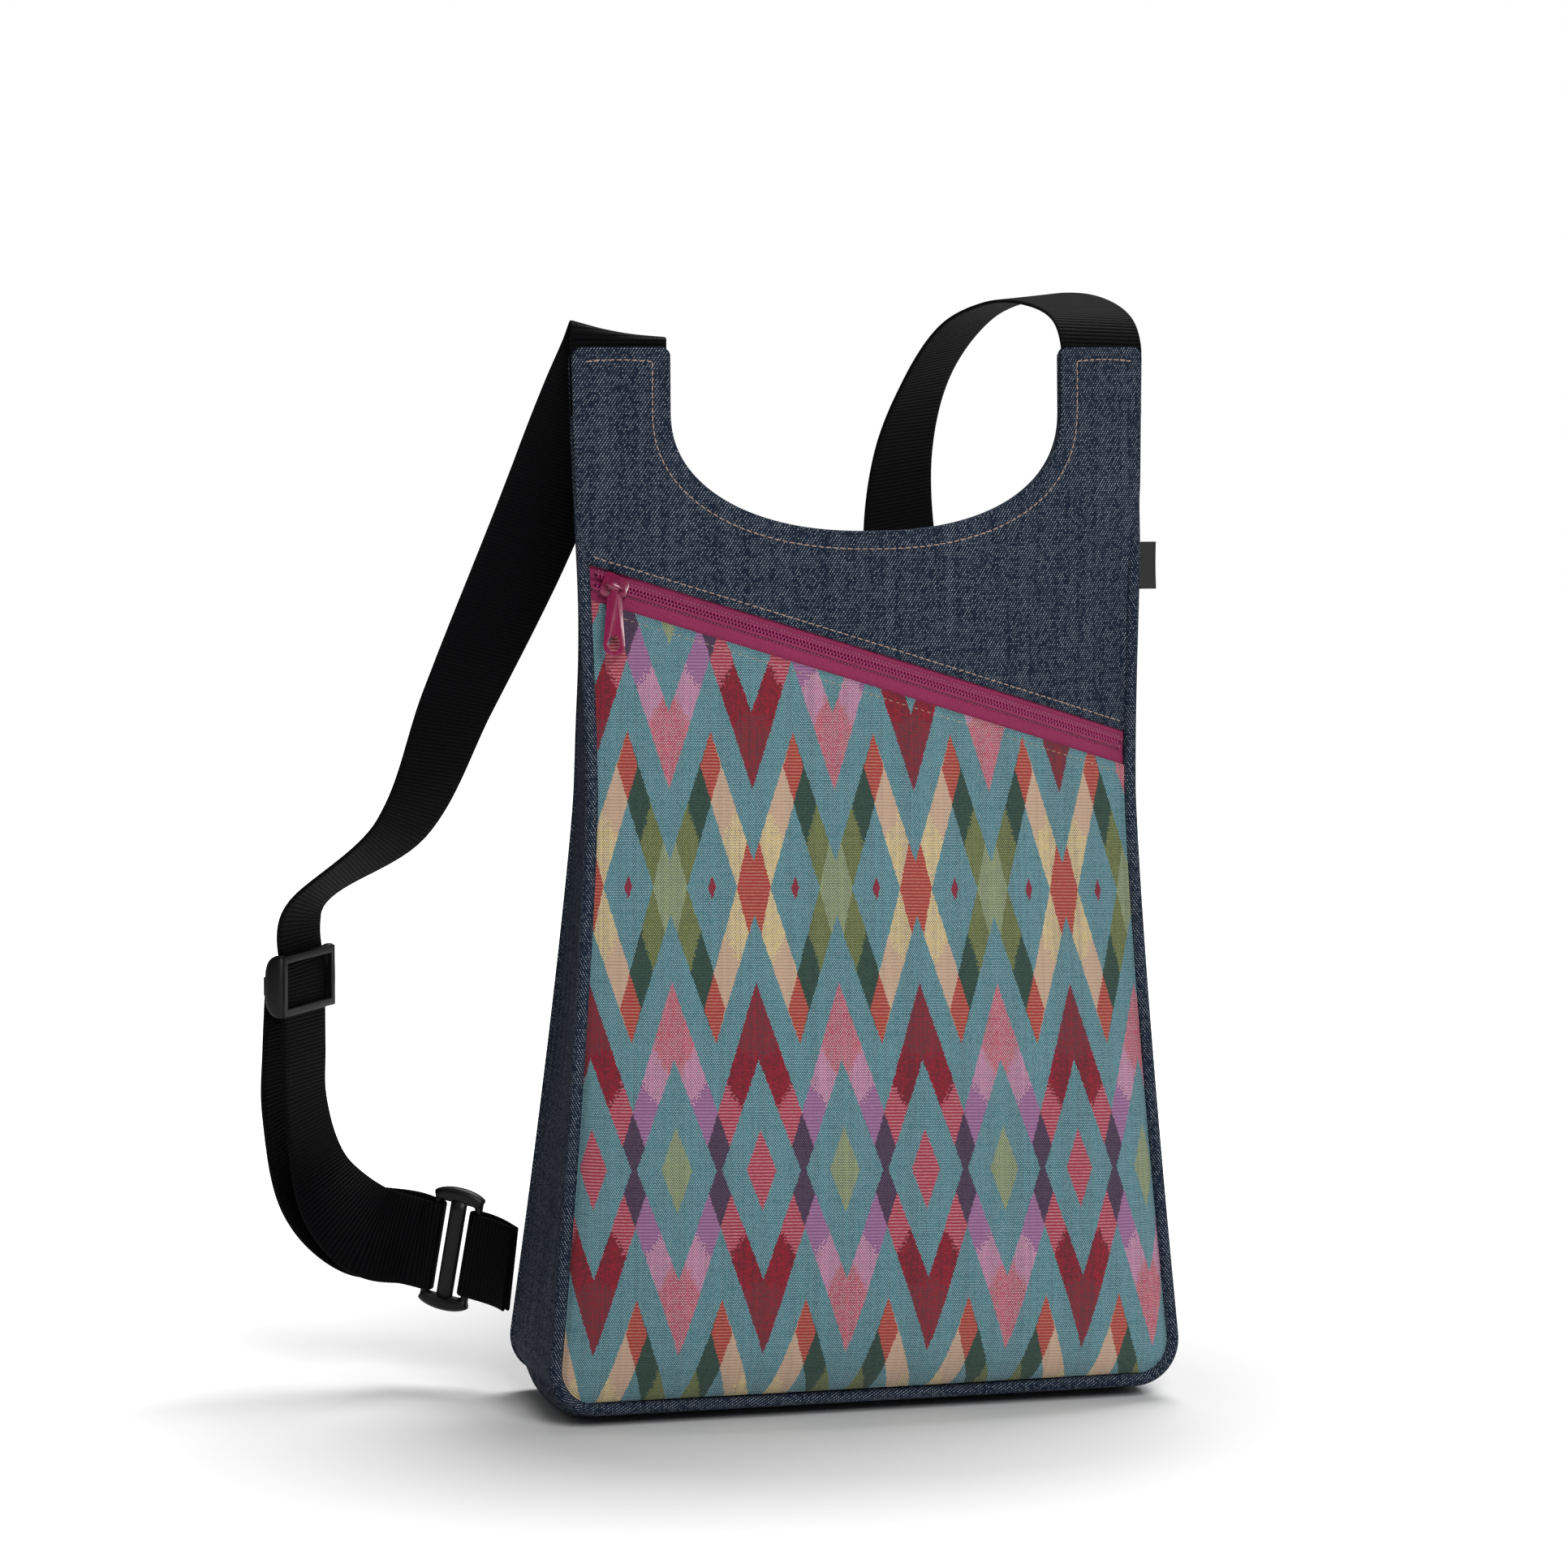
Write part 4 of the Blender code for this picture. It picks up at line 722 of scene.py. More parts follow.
@dataclass(frozen=True)
class LabelCloth(Finish):
    """Dense black woven ribbon, left without any words."""

    name: str = "label ribbon"
    slot: str = "webbing"
    roughness: float = 0.62

    def shade(self, graph: Graph, shader: bpy.types.Node) -> None:
        """Lay a fine satin weave."""
        cells = graph.use(
            thread_cells_group(), cloth=graph.cloth(), across=0.0005, along=0.0004, slant=0.0,
            stagger=0.5, size=0.42,
        )
        dot = graph.out(cells, "Dot") * graph.out(cells, "Chance")
        graph.feed(shader.inputs["Base Color"], graph.mix(dot, linear("#0C0C0E"), linear("#26262A")))
        self.bump(graph, shader, dot, 0.00012, 0.5)


# Meshes


def link_piece(name: str, mesh: bpy.types.Mesh, finish: Finish) -> bpy.types.Object:
    """Link a mesh as a piece in its finish, smooth shaded."""
    item = bpy.data.objects.new(name, mesh)
    bpy.context.scene.collection.objects.link(item)
    mesh.materials.append(finish.material())
    mesh.shade_smooth()
    return item


def dress(item: bpy.types.Object, node: str, body: str = BAG) -> None:
    """Let a piece ride on a body and stand for a CAD node."""
    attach(item, body)
    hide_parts(node)


def grid_mesh(
    name: str, points: np.ndarray, cloth: np.ndarray, closed: bool = False,
    outward: Sequence[float] | None = None,
) -> bpy.types.Mesh:
    """Make a mesh from a grid of points.

    Args:
        name: the mesh's name.
        points: grid of rows by columns of points.
        cloth: grid of cloth coordinates, one column more than the points where closed.
        closed: whether the last column joins the first.
        outward: a direction that the middle face should face, or None to leave it.

    Returns:
        The mesh, with its cloth coordinates as a UV map.
    """
    rows, columns = points.shape[:2]
    across = columns if closed else columns - 1
    row, column = np.meshgrid(np.arange(rows - 1), np.arange(across), indexing="ij")
    beside = (column + 1) % columns
    corners = [(row, column), (row, beside), (row + 1, beside), (row + 1, column)]
    marks = [(row, column), (row, column + 1), (row + 1, column + 1), (row + 1, column)]
    faces = np.stack([r * columns + c for r, c in corners], axis=-1).reshape(-1, 4)
    spots = np.stack([cloth[r, c] for r, c in marks], axis=2).reshape(-1, 4, 2)
    if outward is not None:
        r, c = (rows - 1) // 2, (across - 1) // 2
        along = points[r + 1, c] - points[r, c]
        side = points[r, (c + 1) % columns] - points[r, c]
        if np.dot(np.cross(side, along), np.asarray(outward)) < 0.0:
            faces, spots = faces[:, ::-1], spots[:, ::-1]
    mesh = bpy.data.meshes.new(name)
    mesh.from_pydata(points.reshape(-1, 3), [], faces.tolist())
    layer = mesh.uv_layers.new(name=CLOTH_MAP)
    layer.data.foreach_set("uv", np.ascontiguousarray(spots).reshape(-1))
    mesh.update()
    return mesh


def cloth_sheet(
    name: str, points: np.ndarray, cloth: np.ndarray, finish: Finish, outward: Sequence[float],
    thickness: float,
) -> bpy.types.Object:
    """Make a cloth panel: a grid with its thickness on the inner side."""
    item = link_piece(name, grid_mesh(name, points, cloth, False, outward), finish)
    skin = item.modifiers.new("cloth thickness", "SOLIDIFY")
    skin.thickness = thickness
    skin.offset = -1.0
    return item


def capped(mesh: bpy.types.Mesh) -> bpy.types.Mesh:
    """Close a mesh's open ends and turn its faces outwards."""
    work = bmesh.new()
    work.from_mesh(mesh)
    bmesh.ops.holes_fill(work, edges=[e for e in work.edges if e.is_boundary], sides=0)
    bmesh.ops.recalc_face_normals(work, faces=work.faces)
    work.to_mesh(mesh)
    work.free()
    return mesh


def swept(
    name: str, path: np.ndarray, side: np.ndarray, up: np.ndarray, profile: np.ndarray, finish: Finish,
    closed: bool = True,
) -> bpy.types.Object:
    """Carry a profile along a path: each point is path + side * a + up * b.

    Args:
        name: the piece's name.
        path: points along the piece.
        side: direction of the profile's first coordinate at each point.
        up: direction of its second coordinate.
        profile: points (a, b) of the profile.
        finish: what it is made of.
        closed: whether the profile is a loop, whose ends are then capped.

    Returns:
        The piece.
    """
    ring = side[:, None] * profile[None, :, :1] + up[:, None] * profile[None, :, 1:]
    points = path[:, None] + ring
    loop = np.vstack([profile, profile[:1]]) if closed else profile
    round_length = lengths(loop, 0)
    run = lengths(path, 0)
    cloth = stack(*np.broadcast_arrays(round_length[None, :], run[:, None], 0.0))[..., :2]
    mesh = grid_mesh(name, points, cloth, closed)
    return link_piece(name, capped(mesh) if closed else mesh, finish)


def round_profile(radius: float, sides: int = 12, flat: float = 1.0) -> np.ndarray:
    """Return a circle's points, squeezed by flat in the second coordinate."""
    turn = np.arange(sides) * 2.0 * math.pi / sides
    return np.stack([radius * np.cos(turn), radius * flat * np.sin(turn)], axis=-1)


def path_frame(path: np.ndarray, hint: Sequence[float]) -> tuple[np.ndarray, np.ndarray]:
    """Return side and up directions along a path, with up close to a hint."""
    along = unit(np.gradient(path, axis=0))
    side = unit(np.cross(along, np.broadcast_to(np.asarray(hint, dtype=float), along.shape)))
    return side, np.cross(side, along)


def stitch_row(
    name: str, path: np.ndarray, outward: np.ndarray, finish: Finish, pitch: float = 0.0030,
    share: float = 0.86, radius: float = 0.00023,
) -> bpy.types.Object:
    """Sew a row of stitches along a path.

    Each stitch is a capsule whose middle line rises as half a sine over the cloth and
    dips at both ends, and whose radius follows a flattened circle to its tips.

    Args:
        name: the piece's name.
        path: points along the seam, on the cloth's face.
        outward: the cloth's outward direction at each point.
        finish: the thread.
        pitch: distance from stitch to stitch.
        share: how much of the pitch the thread shows.
        radius: the thread's radius.

    Returns:
        The piece, one mesh for the whole row.
    """
    length = lengths(path, 0)
    count = max(int(length[-1] / pitch), 1)
    chance = np.random.default_rng(len(name) + count)
    start = np.arange(count) * pitch + (length[-1] - count * pitch) / 2
    t = np.linspace(0.0, 1.0, STITCH_RINGS)
    marks = start[:, None] + pitch * (0.5 + (t[None, :] - 0.5) * share)
    centre = read_at(marks, length, path)
    face = unit(read_at(marks, length, outward))
    along = unit(centre[:, -1:] - centre[:, :1])
    side = unit(np.cross(along, face))
    lean = chance.uniform(-0.00016, 0.00016, (count, 1, 1)) * (t[None, :, None] * 2.0 - 1.0)
    centre = centre + side * lean + face * (radius * (0.55 * np.sin(math.pi * t) - 0.25))[None, :, None]
    size = radius * np.sqrt(np.clip(1.0 - np.abs(2.0 * t - 1.0) ** 4, 0.02, 1.0))
    turn = (np.arange(STITCH_SIDES) * 2.0 * math.pi / STITCH_SIDES)[None, None, :, None]
    ring = side[:, :, None] * np.cos(turn) + face[:, :, None] * np.sin(turn)
    points = centre[:, :, None] + ring * size[None, :, None, None]
    step, corner = np.meshgrid(np.arange(STITCH_RINGS - 1), np.arange(STITCH_SIDES), indexing="ij")
    beside = (corner + 1) % STITCH_SIDES
    here, onward = step * STITCH_SIDES, (step + 1) * STITCH_SIDES
    cell = np.stack([here + corner, here + beside, onward + beside, onward + corner], axis=-1)
    first = np.arange(count)[:, None, None] * STITCH_RINGS * STITCH_SIDES
    faces = (first + cell.reshape(1, -1, 4)).reshape(-1, 4)
    spot = np.stack([corner, step], axis=-1).reshape(-1, 1, 2) * np.array([0.0003, 0.0004])
    mesh = bpy.data.meshes.new(name)
    mesh.from_pydata(points.reshape(-1, 3), [], faces.tolist())
    layer = mesh.uv_layers.new(name=CLOTH_MAP)
    layer.data.foreach_set("uv", np.tile(np.repeat(spot, 4, axis=1), (count, 1, 1)).reshape(-1))
    item = link_piece(name, capped(mesh), finish)
    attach(item, BAG)
    return item


def rolled_under(edge: np.ndarray, toward: np.ndarray, radius: float, turn: np.ndarray) -> np.ndarray:
    """Return rows of points that roll a cloth's edge under: part of a circle, turned backwards."""
    rows = [edge + toward * radius * math.sin(t) + BACKWARD * radius * (1.0 - math.cos(t)) for t in turn]
    return np.array(rows)


def rounded_copy(
    node: str, body: str, finish: Finish, width: float, nodes: dict[str, bpy.types.Object],
) -> bpy.types.Object:
    """Stand for a CAD node with a copy whose edges are rounded off."""
    source = nodes[node]
    mesh = source.data.copy()
    mesh.materials.clear()
    work = bmesh.new()
    work.from_mesh(mesh)
    bmesh.ops.remove_doubles(work, verts=work.verts, dist=2e-6)
    bmesh.ops.dissolve_degenerate(work, dist=1e-6, edges=work.edges)
    bmesh.ops.dissolve_limit(work, angle_limit=math.radians(2.0), verts=work.verts, edges=work.edges)
    bmesh.ops.recalc_face_normals(work, faces=work.faces)
    work.to_mesh(mesh)
    work.free()
    item = link_piece(node + "_finished", mesh, finish)
    edge = item.modifiers.new("rounded edges", "BEVEL")
    edge.width = width
    edge.segments = 3
    edge.limit_method = "ANGLE"
    edge.angle_limit = math.radians(35.0)
    edge.harden_normals = True
    dress(item, node, body)
    return item


# The bag


@dataclass(frozen=True)
class BagForm:
    """Outline and rounding of the bag's body, which every sewn piece follows."""

    depth: float = 0.090
    base_half: float = 0.1405
    waist_half: float = 0.1200
    shoulder_half: float = 0.1248
    waist_z: float = 0.262
    tab_top: float = 0.449
    gusset_top: float = 0.378
    gusset_end: float = 0.334
    corner: float = 0.019
    seam_base: float = 0.0085
    lean: float = 0.035
    front_sag: float = 0.0205
    back_sag: float = 0.008
    bottom_turn: float = 0.055
    full_round: float = 0.10
    low_gain: float = 0.22
    zip_zone_low: float = 0.250
    fade_start: float = 0.335
    tab_sag_loss: float = 0.10
    neck_half: float = 0.0845
    neck_straight: float = 0.026
    neck_bowl: float = 0.050
    neck_exponent: float = 2.3
    neck_corner: float = 0.0038
    cloth: float = 0.0012
    gap: float = 0.0003
    edge_gap: float = 0.0062
    piping: float = 0.00275
    piping_top: float = 0.368
    piping_tail: float = 0.022
    tail_share: float = 0.20
    back_margin: float = 0.0012
    zip_mid: float = 0.317
    zip_slope: float = 0.315
    zip_upper: float = 0.0059
    zip_lower: float = 0.0088
    zip_stop: float = 0.107

    @property
    def inset(self) -> float:
        """Distance from the seam line to a panel's edge."""
        return self.piping + self.gap

    @property
    def tucked(self) -> float:
        """Distance from the seam line to a cloth edge tucked behind the piping."""
        return 0.6 * self.piping

    @property
    def zip_angle(self) -> float:
        """Slope of the zip as an angle."""
        return math.atan(self.zip_slope)

    @property
    def zip_along(self) -> np.ndarray:
        """Direction along the zip, to the viewer's right."""
        return np.array([math.cos(self.zip_angle), 0.0, -math.sin(self.zip_angle)])

    @property
    def zip_across(self) -> np.ndarray:
        """Direction up across the zip."""
        return np.array([math.sin(self.zip_angle), 0.0, math.cos(self.zip_angle)])

    def side_half(self, z: np.ndarray) -> np.ndarray:
        """Half width of the outline at height z."""
        low = np.clip(1.0 - z / self.waist_z, 0.0, 1.0) ** 1.25
        high = smoothstep(self.waist_z, self.tab_top, z)
        return (
            self.waist_half + (self.base_half - self.waist_half) * low
            + (self.shoulder_half - self.waist_half) * high
        )

    def seam_half(self, z: np.ndarray, inset: float | np.ndarray = 0.0) -> np.ndarray:
        """Half width of the seam line at height z, moved inwards by inset."""
        radius = self.corner - inset
        height = np.clip(z - self.seam_base - inset, 0.0, radius)
        round_off = radius - np.sqrt(np.maximum(radius**2 - (radius - height) ** 2, 0.0))
        return self.side_half(z) - self.piping - inset - round_off

    def lowness(self, z: np.ndarray) -> np.ndarray:
        """Return 1 in the full lower part, and 0 from below the zip upwards."""
        return 1.0 - smoothstep(self.full_round, self.zip_zone_low, z)

    def seam_y(self, z: np.ndarray) -> np.ndarray:
        """Depth of the front seam line."""
        return -self.depth / 2 + self.lean * z

    def arch(
        self, x: np.ndarray, z: np.ndarray, inset: float | np.ndarray, fullness: float = 0.40,
    ) -> np.ndarray:
        """Rounding of a panel over its width: a circle's arc raised to a power low down."""
        half = np.maximum(self.seam_half(z, inset), 0.001)
        radius = (self.waist_half**2 + self.front_sag**2) / (2.0 * self.front_sag)
        share = np.clip(np.abs(x) / half, 0.0, 1.0) * self.waist_half
        low = math.sqrt(radius**2 - self.waist_half**2)
        circle = (np.sqrt(radius**2 - share**2) - low) / (radius - low)
        power = 1.0 - fullness * self.lowness(z)
        return np.maximum(circle, 0.0) ** power

    def front_y(self, x: np.ndarray, z: np.ndarray) -> np.ndarray:
        """Depth of the front cloth's outer face."""
        foot = self.seam_base + self.inset
        rise = np.clip((z - foot) / self.bottom_turn, 0.0, 1.0)
        level = (1.0 - (1.0 - rise) ** 2.6) ** 0.60
        level = level * (1.0 + self.low_gain * self.lowness(z))
        level = level * (1.0 - self.tab_sag_loss * smoothstep(self.fade_start, self.tab_top, z))
        free_edge = smoothstep(self.piping_top, self.piping_top + 0.020, z)
        inset = self.inset - (self.inset + self.piping - self.back_margin) * free_edge
        return self.seam_y(z) - self.cloth / 2 - self.front_sag * level * self.arch(x, z, inset)

    def neck_bottom(self) -> float:
        """Height of the neck opening's lowest point."""
        return self.tab_top - self.neck_straight - self.neck_bowl

    def back_y(self, x: np.ndarray, z: np.ndarray) -> np.ndarray:
        """Depth of the back cloth's outer face."""
        width = self.depth * np.clip(1.0 - z / self.gusset_top, 0.0, 1.0)
        foot = np.clip((z - self.seam_base) / self.bottom_turn, 0.0, 1.0)
        swell = self.back_sag * np.sqrt(foot) * self.arch(x, z, 2 * self.inset, 0.0)
        full = self.seam_y(z) + width + self.cloth / 2 + swell
        joined = self.front_y(x, z) + self.edge_gap
        share = smoothstep(0.285, self.neck_bottom() - 0.002, z)
        return np.maximum(full * (1.0 - share) + joined * share, joined)

    def zip_z(self, x: np.ndarray, across: float = 0.0) -> np.ndarray:
        """Height of the line along the zip at a distance across it."""
        return self.zip_mid - self.zip_slope * x + across / math.cos(self.zip_angle)

    def on_front(self, x: np.ndarray, z: np.ndarray, proud: float = 0.0) -> np.ndarray:
        """Points on the front cloth, standing proud of it."""
        return stack(x, self.front_y(x, z) - proud, z)

    def outward(self, x: np.ndarray, z: np.ndarray) -> np.ndarray:
        """Outward direction of the front cloth, from its slopes."""
        step = 0.0005
        slope_x = (self.front_y(x + step, z) - self.front_y(x - step, z)) / (2 * step)
        slope_z = (self.front_y(x, z + step) - self.front_y(x, z - step)) / (2 * step)
        return unit(stack(slope_x, -np.ones_like(slope_x), slope_z))

    def neck_path(self, count: int, inset: float = 0.0) -> np.ndarray:
        """Neck edge from the left tab's top to the right tab's, as x and z."""
        half = self.neck_half + inset
        corner = np.linspace(0.0, math.pi / 2, 10)[:-1]
        straight = np.linspace(self.neck_corner, self.neck_straight, count // 4)[:-1]
        turn = np.linspace(0.0, math.pi / 2, count)
        bowl_x = half * np.cos(turn) ** (2.0 / self.neck_exponent)
        bowl_z = (self.neck_bowl + inset) * np.sin(turn) ** (2.0 / self.neck_exponent)
        corner_x = half + self.neck_corner * (1.0 - np.sin(corner))
        corner_z = self.neck_corner * (1.0 - np.cos(corner))
        x = np.concatenate([corner_x, np.full(straight.shape, half), bowl_x])
        z = self.tab_top - np.concatenate([corner_z, straight, self.neck_straight + bowl_z])
        return np.stack([np.concatenate([-x, x[::-1][1:]]), np.concatenate([z, z[::-1][1:]])], axis=-1)

    def outline(
        self, inset: float, top: float, sides: int = 90, turns: int = 18, base: int = 60,
    ) -> np.ndarray:
        """Seam outline from the left top round the base to the right top, as x and z."""
        radius = self.corner - inset
        foot = self.seam_base + inset
        side_z = np.linspace(top, foot + radius, sides)
        turn = np.linspace(0.0, math.pi / 2, turns + 1)[1:]
        left_z = np.concatenate([side_z, foot + radius * (1.0 - np.sin(turn))])
        left_x = -self.seam_half(left_z, inset)
        base_x = np.linspace(left_x[-1], -left_x[-1], base)[1:-1]
        x = np.concatenate([left_x, base_x, -left_x[::-1]])
        z = np.concatenate([left_z, np.full(base_x.shape, foot), left_z[::-1]])
        return np.stack([x, z], axis=-1)

    def piping_size(self, z: np.ndarray) -> np.ndarray:
        """Radius of the piping at height z: it thins out beside the yoke."""
        thinning = smoothstep(self.piping_top - 0.012, self.piping_top + self.piping_tail, z)
        return self.piping * (1.0 - (1.0 - self.tail_share) * thinning)

    def yoke_half(self, z: np.ndarray) -> np.ndarray:
        """Half width of the yoke: tucked behind the piping, and full width above it."""
        tuck = (self.piping_size(z) / self.piping - self.tail_share) / (1.0 - self.tail_share)
        free = self.side_half(z) - self.back_margin
        return free * (1.0 - tuck) + self.seam_half(z, self.tucked) * tuck

    def fold_x(self, sign: float, across: float) -> float:
        """Where a line along the zip meets the panel's side edge."""
        x = sign * self.waist_half
        for _ in range(12):
            x = sign * float(self.seam_half(np.array(self.zip_z(x, across)), self.inset))
        return x


@dataclass
class FrontPanel:
    """Woven lower front, from the base seam up to the fold below the zip."""

    form: BagForm
    finish: Finish = field(default_factory=Lattice)
    columns: int = 181
    rows: int = 221
    sag: float = 0.0007
    droop: float = 0.17
    droop_centre: float = -0.102
    stitch_margin: float = 0.003
    waves: tuple[tuple[float, ...], ...] = (
        (61.0, 23.0, 0.0, 0.5), (27.0, -44.0, 1.3, 0.6), (14.0, 95.0, 0.4, 0.35),
    )

    def points(self) -> np.ndarray:
        """Grid of the panel: width share by height share, with slow waves in its depth."""
        form = self.form
        place = np.sin(np.linspace(-math.pi / 2, math.pi / 2, self.columns) * 0.95)
        place = place / place[-1]
        share, place = np.meshgrid(np.linspace(0.0, 1.0, self.rows) ** 1.25, place, indexing="ij")
        foot = form.seam_base + form.inset
        z = foot + (form.zip_z(0.0, -form.zip_lower) - foot) * share
        for _ in range(8):
            x = place * form.seam_half(z, form.tucked)
            z = foot + (form.zip_z(x, -form.zip_lower) - foot) * share
        wave = ripples(x, z, self.waves)
        calm = np.clip((1.0 - np.abs(place)) * 6.0, 0.0, 1.0) * np.clip(share * 12.0, 0.0, 1.0)
        calm = calm * np.clip((1.0 - share) * 10.0, 0.0, 1.0)
        pucker = 0.00016 * np.sin(form.zip_along[0] * x * 2 * math.pi / 0.006)
        near_fold = np.exp(-(((1.0 - share) * 0.29 - 0.004) / 0.004) ** 2)
        y = form.front_y(x, z) - self.sag * (0.55 + 0.45 * wave) * calm - pucker * near_fold
        return stack(x, y, z)

    def build(self) -> None:
        """Make the panel, its folded top edge and its stitching."""
        form = self.form
        points = self.points()
        across = lengths(points, 1)
        middle = self.columns // 2
        x_cloth = across - across[:, middle:middle + 1] + points[:, middle:middle + 1, 0]
        z_cloth = points[..., 2] + self.droop * (points[..., 0] - self.droop_centre) ** 2
        cloth = np.stack([x_cloth, z_cloth], axis=-1)
        panel = cloth_sheet("front_panel_cloth", points, cloth, self.finish, (0, -1, 0), form.cloth * 0.8)
        dress(panel, "front_panel")
        edge = points[-1]
        edge_cloth = cloth[-1]
        turn = np.linspace(0.0, math.pi, 7)
        radius = form.cloth * 0.42
        rows = rolled_under(edge, form.zip_across, radius, turn)
        roll_cloth = np.stack([edge_cloth + np.array([0.0, radius * t]) for t in turn])
        mesh = grid_mesh("front_panel_fold", rows, roll_cloth, False, (0, 0, 1))
        roll = link_piece("front_panel_fold", mesh, self.finish)
        dress(roll, "front_panel")
        row_across = -form.zip_lower - self.stitch_margin
        left, right = form.fold_x(-1.0, row_across), form.fold_x(1.0, row_across)
        x = np.linspace(left + 0.001, right - 0.001, 160)
        z = form.zip_z(x, row_across)
        row = form.on_front(x, z, 0.0)
        stitch_row("front_panel_stitching", row, form.outward(x, z), Thread(), 0.0029, 0.72, 0.00017)
        LOG.info("front panel built")


@dataclass
class FrontYoke:
    """Denim yoke with two tabs, from the fold above the zip to the neck edge."""

    form: BagForm
    finish: Finish = field(default_factory=Denim)
    neck_row: float = 0.0073
    corner: float = 0.0045
    right_corner_x: float = 0.11
    corner_shares: tuple[float, ...] = (0.0, 0.30, 0.66, 1.0)
    edge_radius: float = 0.0011
    stitch_margin: float = 0.003
    stitch_pitch: float = 0.0031
    waves: tuple[tuple[float, ...], ...] = ((70.0, 31.0, 0.8, 0.00025), (33.0, -88.0, 0.0, 0.0003))
    seam_groove: tuple[tuple[float, float], ...] = (
        (-0.0003, 0.36), (-0.0010, 0.46), (-0.0016, 0.50), (-0.0010, 0.54), (-0.0003, 0.64),
    )

    def outer(self) -> np.ndarray:
        """Outer edge from the left tab's top, down, along the zip and up to the right tab."""
        form = self.form
        parts = []
        for sign in (-1.0, 1.0):
            low_x = form.fold_x(sign, form.zip_upper)
            low_z = float(form.zip_z(low_x, form.zip_upper))
            turn = np.linspace(0.0, math.pi / 2, 12)
            top = float(form.yoke_half(np.array(form.tab_top)))
            corner_x = top - self.corner * (1.0 - np.sin(turn))
            corner_z = form.tab_top - self.corner * (1.0 - np.cos(turn))
            z = np.linspace(form.tab_top - self.corner, low_z, 90)[1:]
            side = np.concatenate([corner_x, form.yoke_half(z)]), np.concatenate([corner_z, z])
            parts.append(np.stack([sign * side[0], side[1]], axis=-1))
        fold_x = np.linspace(parts[0][-1, 0], parts[1][-1, 0], 140)[1:-1]
        fold = np.stack([fold_x, form.zip_z(fold_x, form.zip_upper)], axis=-1)
        return np.vstack([parts[0], fold, parts[1][::-1]])

    def grid(self, outer: np.ndarray, rows: int = 46, columns: int = 401) -> tuple[np.ndarray, np.ndarray]:
        """Grid of x and z between the outer edge and the neck edge.

        Columns join the two edges at matching shares of their lengths, which a
        piecewise map keeps level along the tabs and fanned out below the neck.
        """
        form = self.form
        length = lengths(outer, 0)
        off_fold = np.abs(outer[:, 1] - form.zip_z(outer[:, 0], form.zip_upper))
        low_left = length[np.argmin(off_fold + (outer[:, 0] > 0))]
        low_right = length[np.argmin(off_fold + (outer[:, 0] < self.right_corner_x))]
        share = np.linspace(0.0, 1.0, columns)
        marks = np.interp(share, self.corner_shares, [0.0, low_left, low_right, length[-1]])
        edge = read_at(marks, length, outer)
        neck = form.neck_path(120)
        neck_length = lengths(neck, 0)
        inner = read_at(share * neck_length[-1], neck_length, neck)
        mix = np.linspace(0.0, 1.0, rows)[:, None, None]
        flat = edge[None] * (1.0 - mix) + inner[None] * mix
        return flat[..., 0], flat[..., 1]

    def relief(self, x: np.ndarray, z: np.ndarray) -> np.ndarray:
        """How far the cloth stands off: slow waves, hem ridges and the zip seam's step."""
        form = self.form
        wave = ripples(x, z, self.waves) + np.sin(x * 140.0 + np.sin(z * 60.0)) * 0.00012
        fold = (z - form.zip_z(x, form.zip_upper)) * math.cos(form.zip_angle)
        ridge = 0.0004 * (1.0 - smoothstep(0.0028, 0.0052, fold))
        dent = -0.00025 * np.exp(-((fold - 0.0031) / 0.0009) ** 2)
        pucker = 0.00014 * np.sin(x * 2 * math.pi / 0.0058) * np.exp(-((fold - 0.005) / 0.003) ** 2)
        calm = smoothstep(0.0, 0.010, fold)
        return wave * calm + ridge + dent + pucker

    def face(self, x: np.ndarray, z: np.ndarray, proud: float = 0.0) -> np.ndarray:
        """Points on the yoke's own face, or standing proud of it."""
        return stack(x, self.form.front_y(x, z) - self.relief(x, z) - proud, z)

    def sew(self, name: str, x: np.ndarray, z: np.ndarray, pitch: float, proud: float = 0.0) -> None:
        """Sew a row of stitches on the yoke's face."""
        stitch_row(name, self.face(x, z, proud), self.form.outward(x, z), Thread(), pitch)

    def build(self) -> None:
        """Make the yoke, its fold, its neck and tab edges and its stitching."""
        form = self.form
        outer = self.outer()
        x, z = self.grid(outer)
        cloth = np.stack([x * 1.015, z], axis=-1)
        points = self.face(x, z)
        yoke = cloth_sheet("front_yoke_cloth", points, cloth, self.finish, (0, -1, 0), form.cloth * 0.8)
        dress(yoke, "front_yoke")
        self.fold()
        self.edges()
        self.stitching()
        LOG.info("front yoke built")

    def fold(self) -> None:
        """Roll the cloth under along the zip: half a small circle under the edge."""
        form = self.form
        left, right = form.fold_x(-1.0, form.zip_upper), form.fold_x(1.0, form.zip_upper)
        x = np.linspace(left, right, 260)
        z = form.zip_z(x, form.zip_upper)
        radius = form.cloth * 0.5
        turn = np.linspace(0.0, math.pi, 9)
        rows = rolled_under(self.face(x, z), -0.8 * form.zip_across, radius, turn)
        cloth = np.stack([np.stack([x * 1.015, z - radius * t], axis=-1) for t in turn])
        mesh = grid_mesh("front_yoke_fold", rows, cloth, False, (0, 0, -1))
        roll = link_piece("front_yoke_fold", mesh, self.finish)
        dress(roll, "front_yoke")

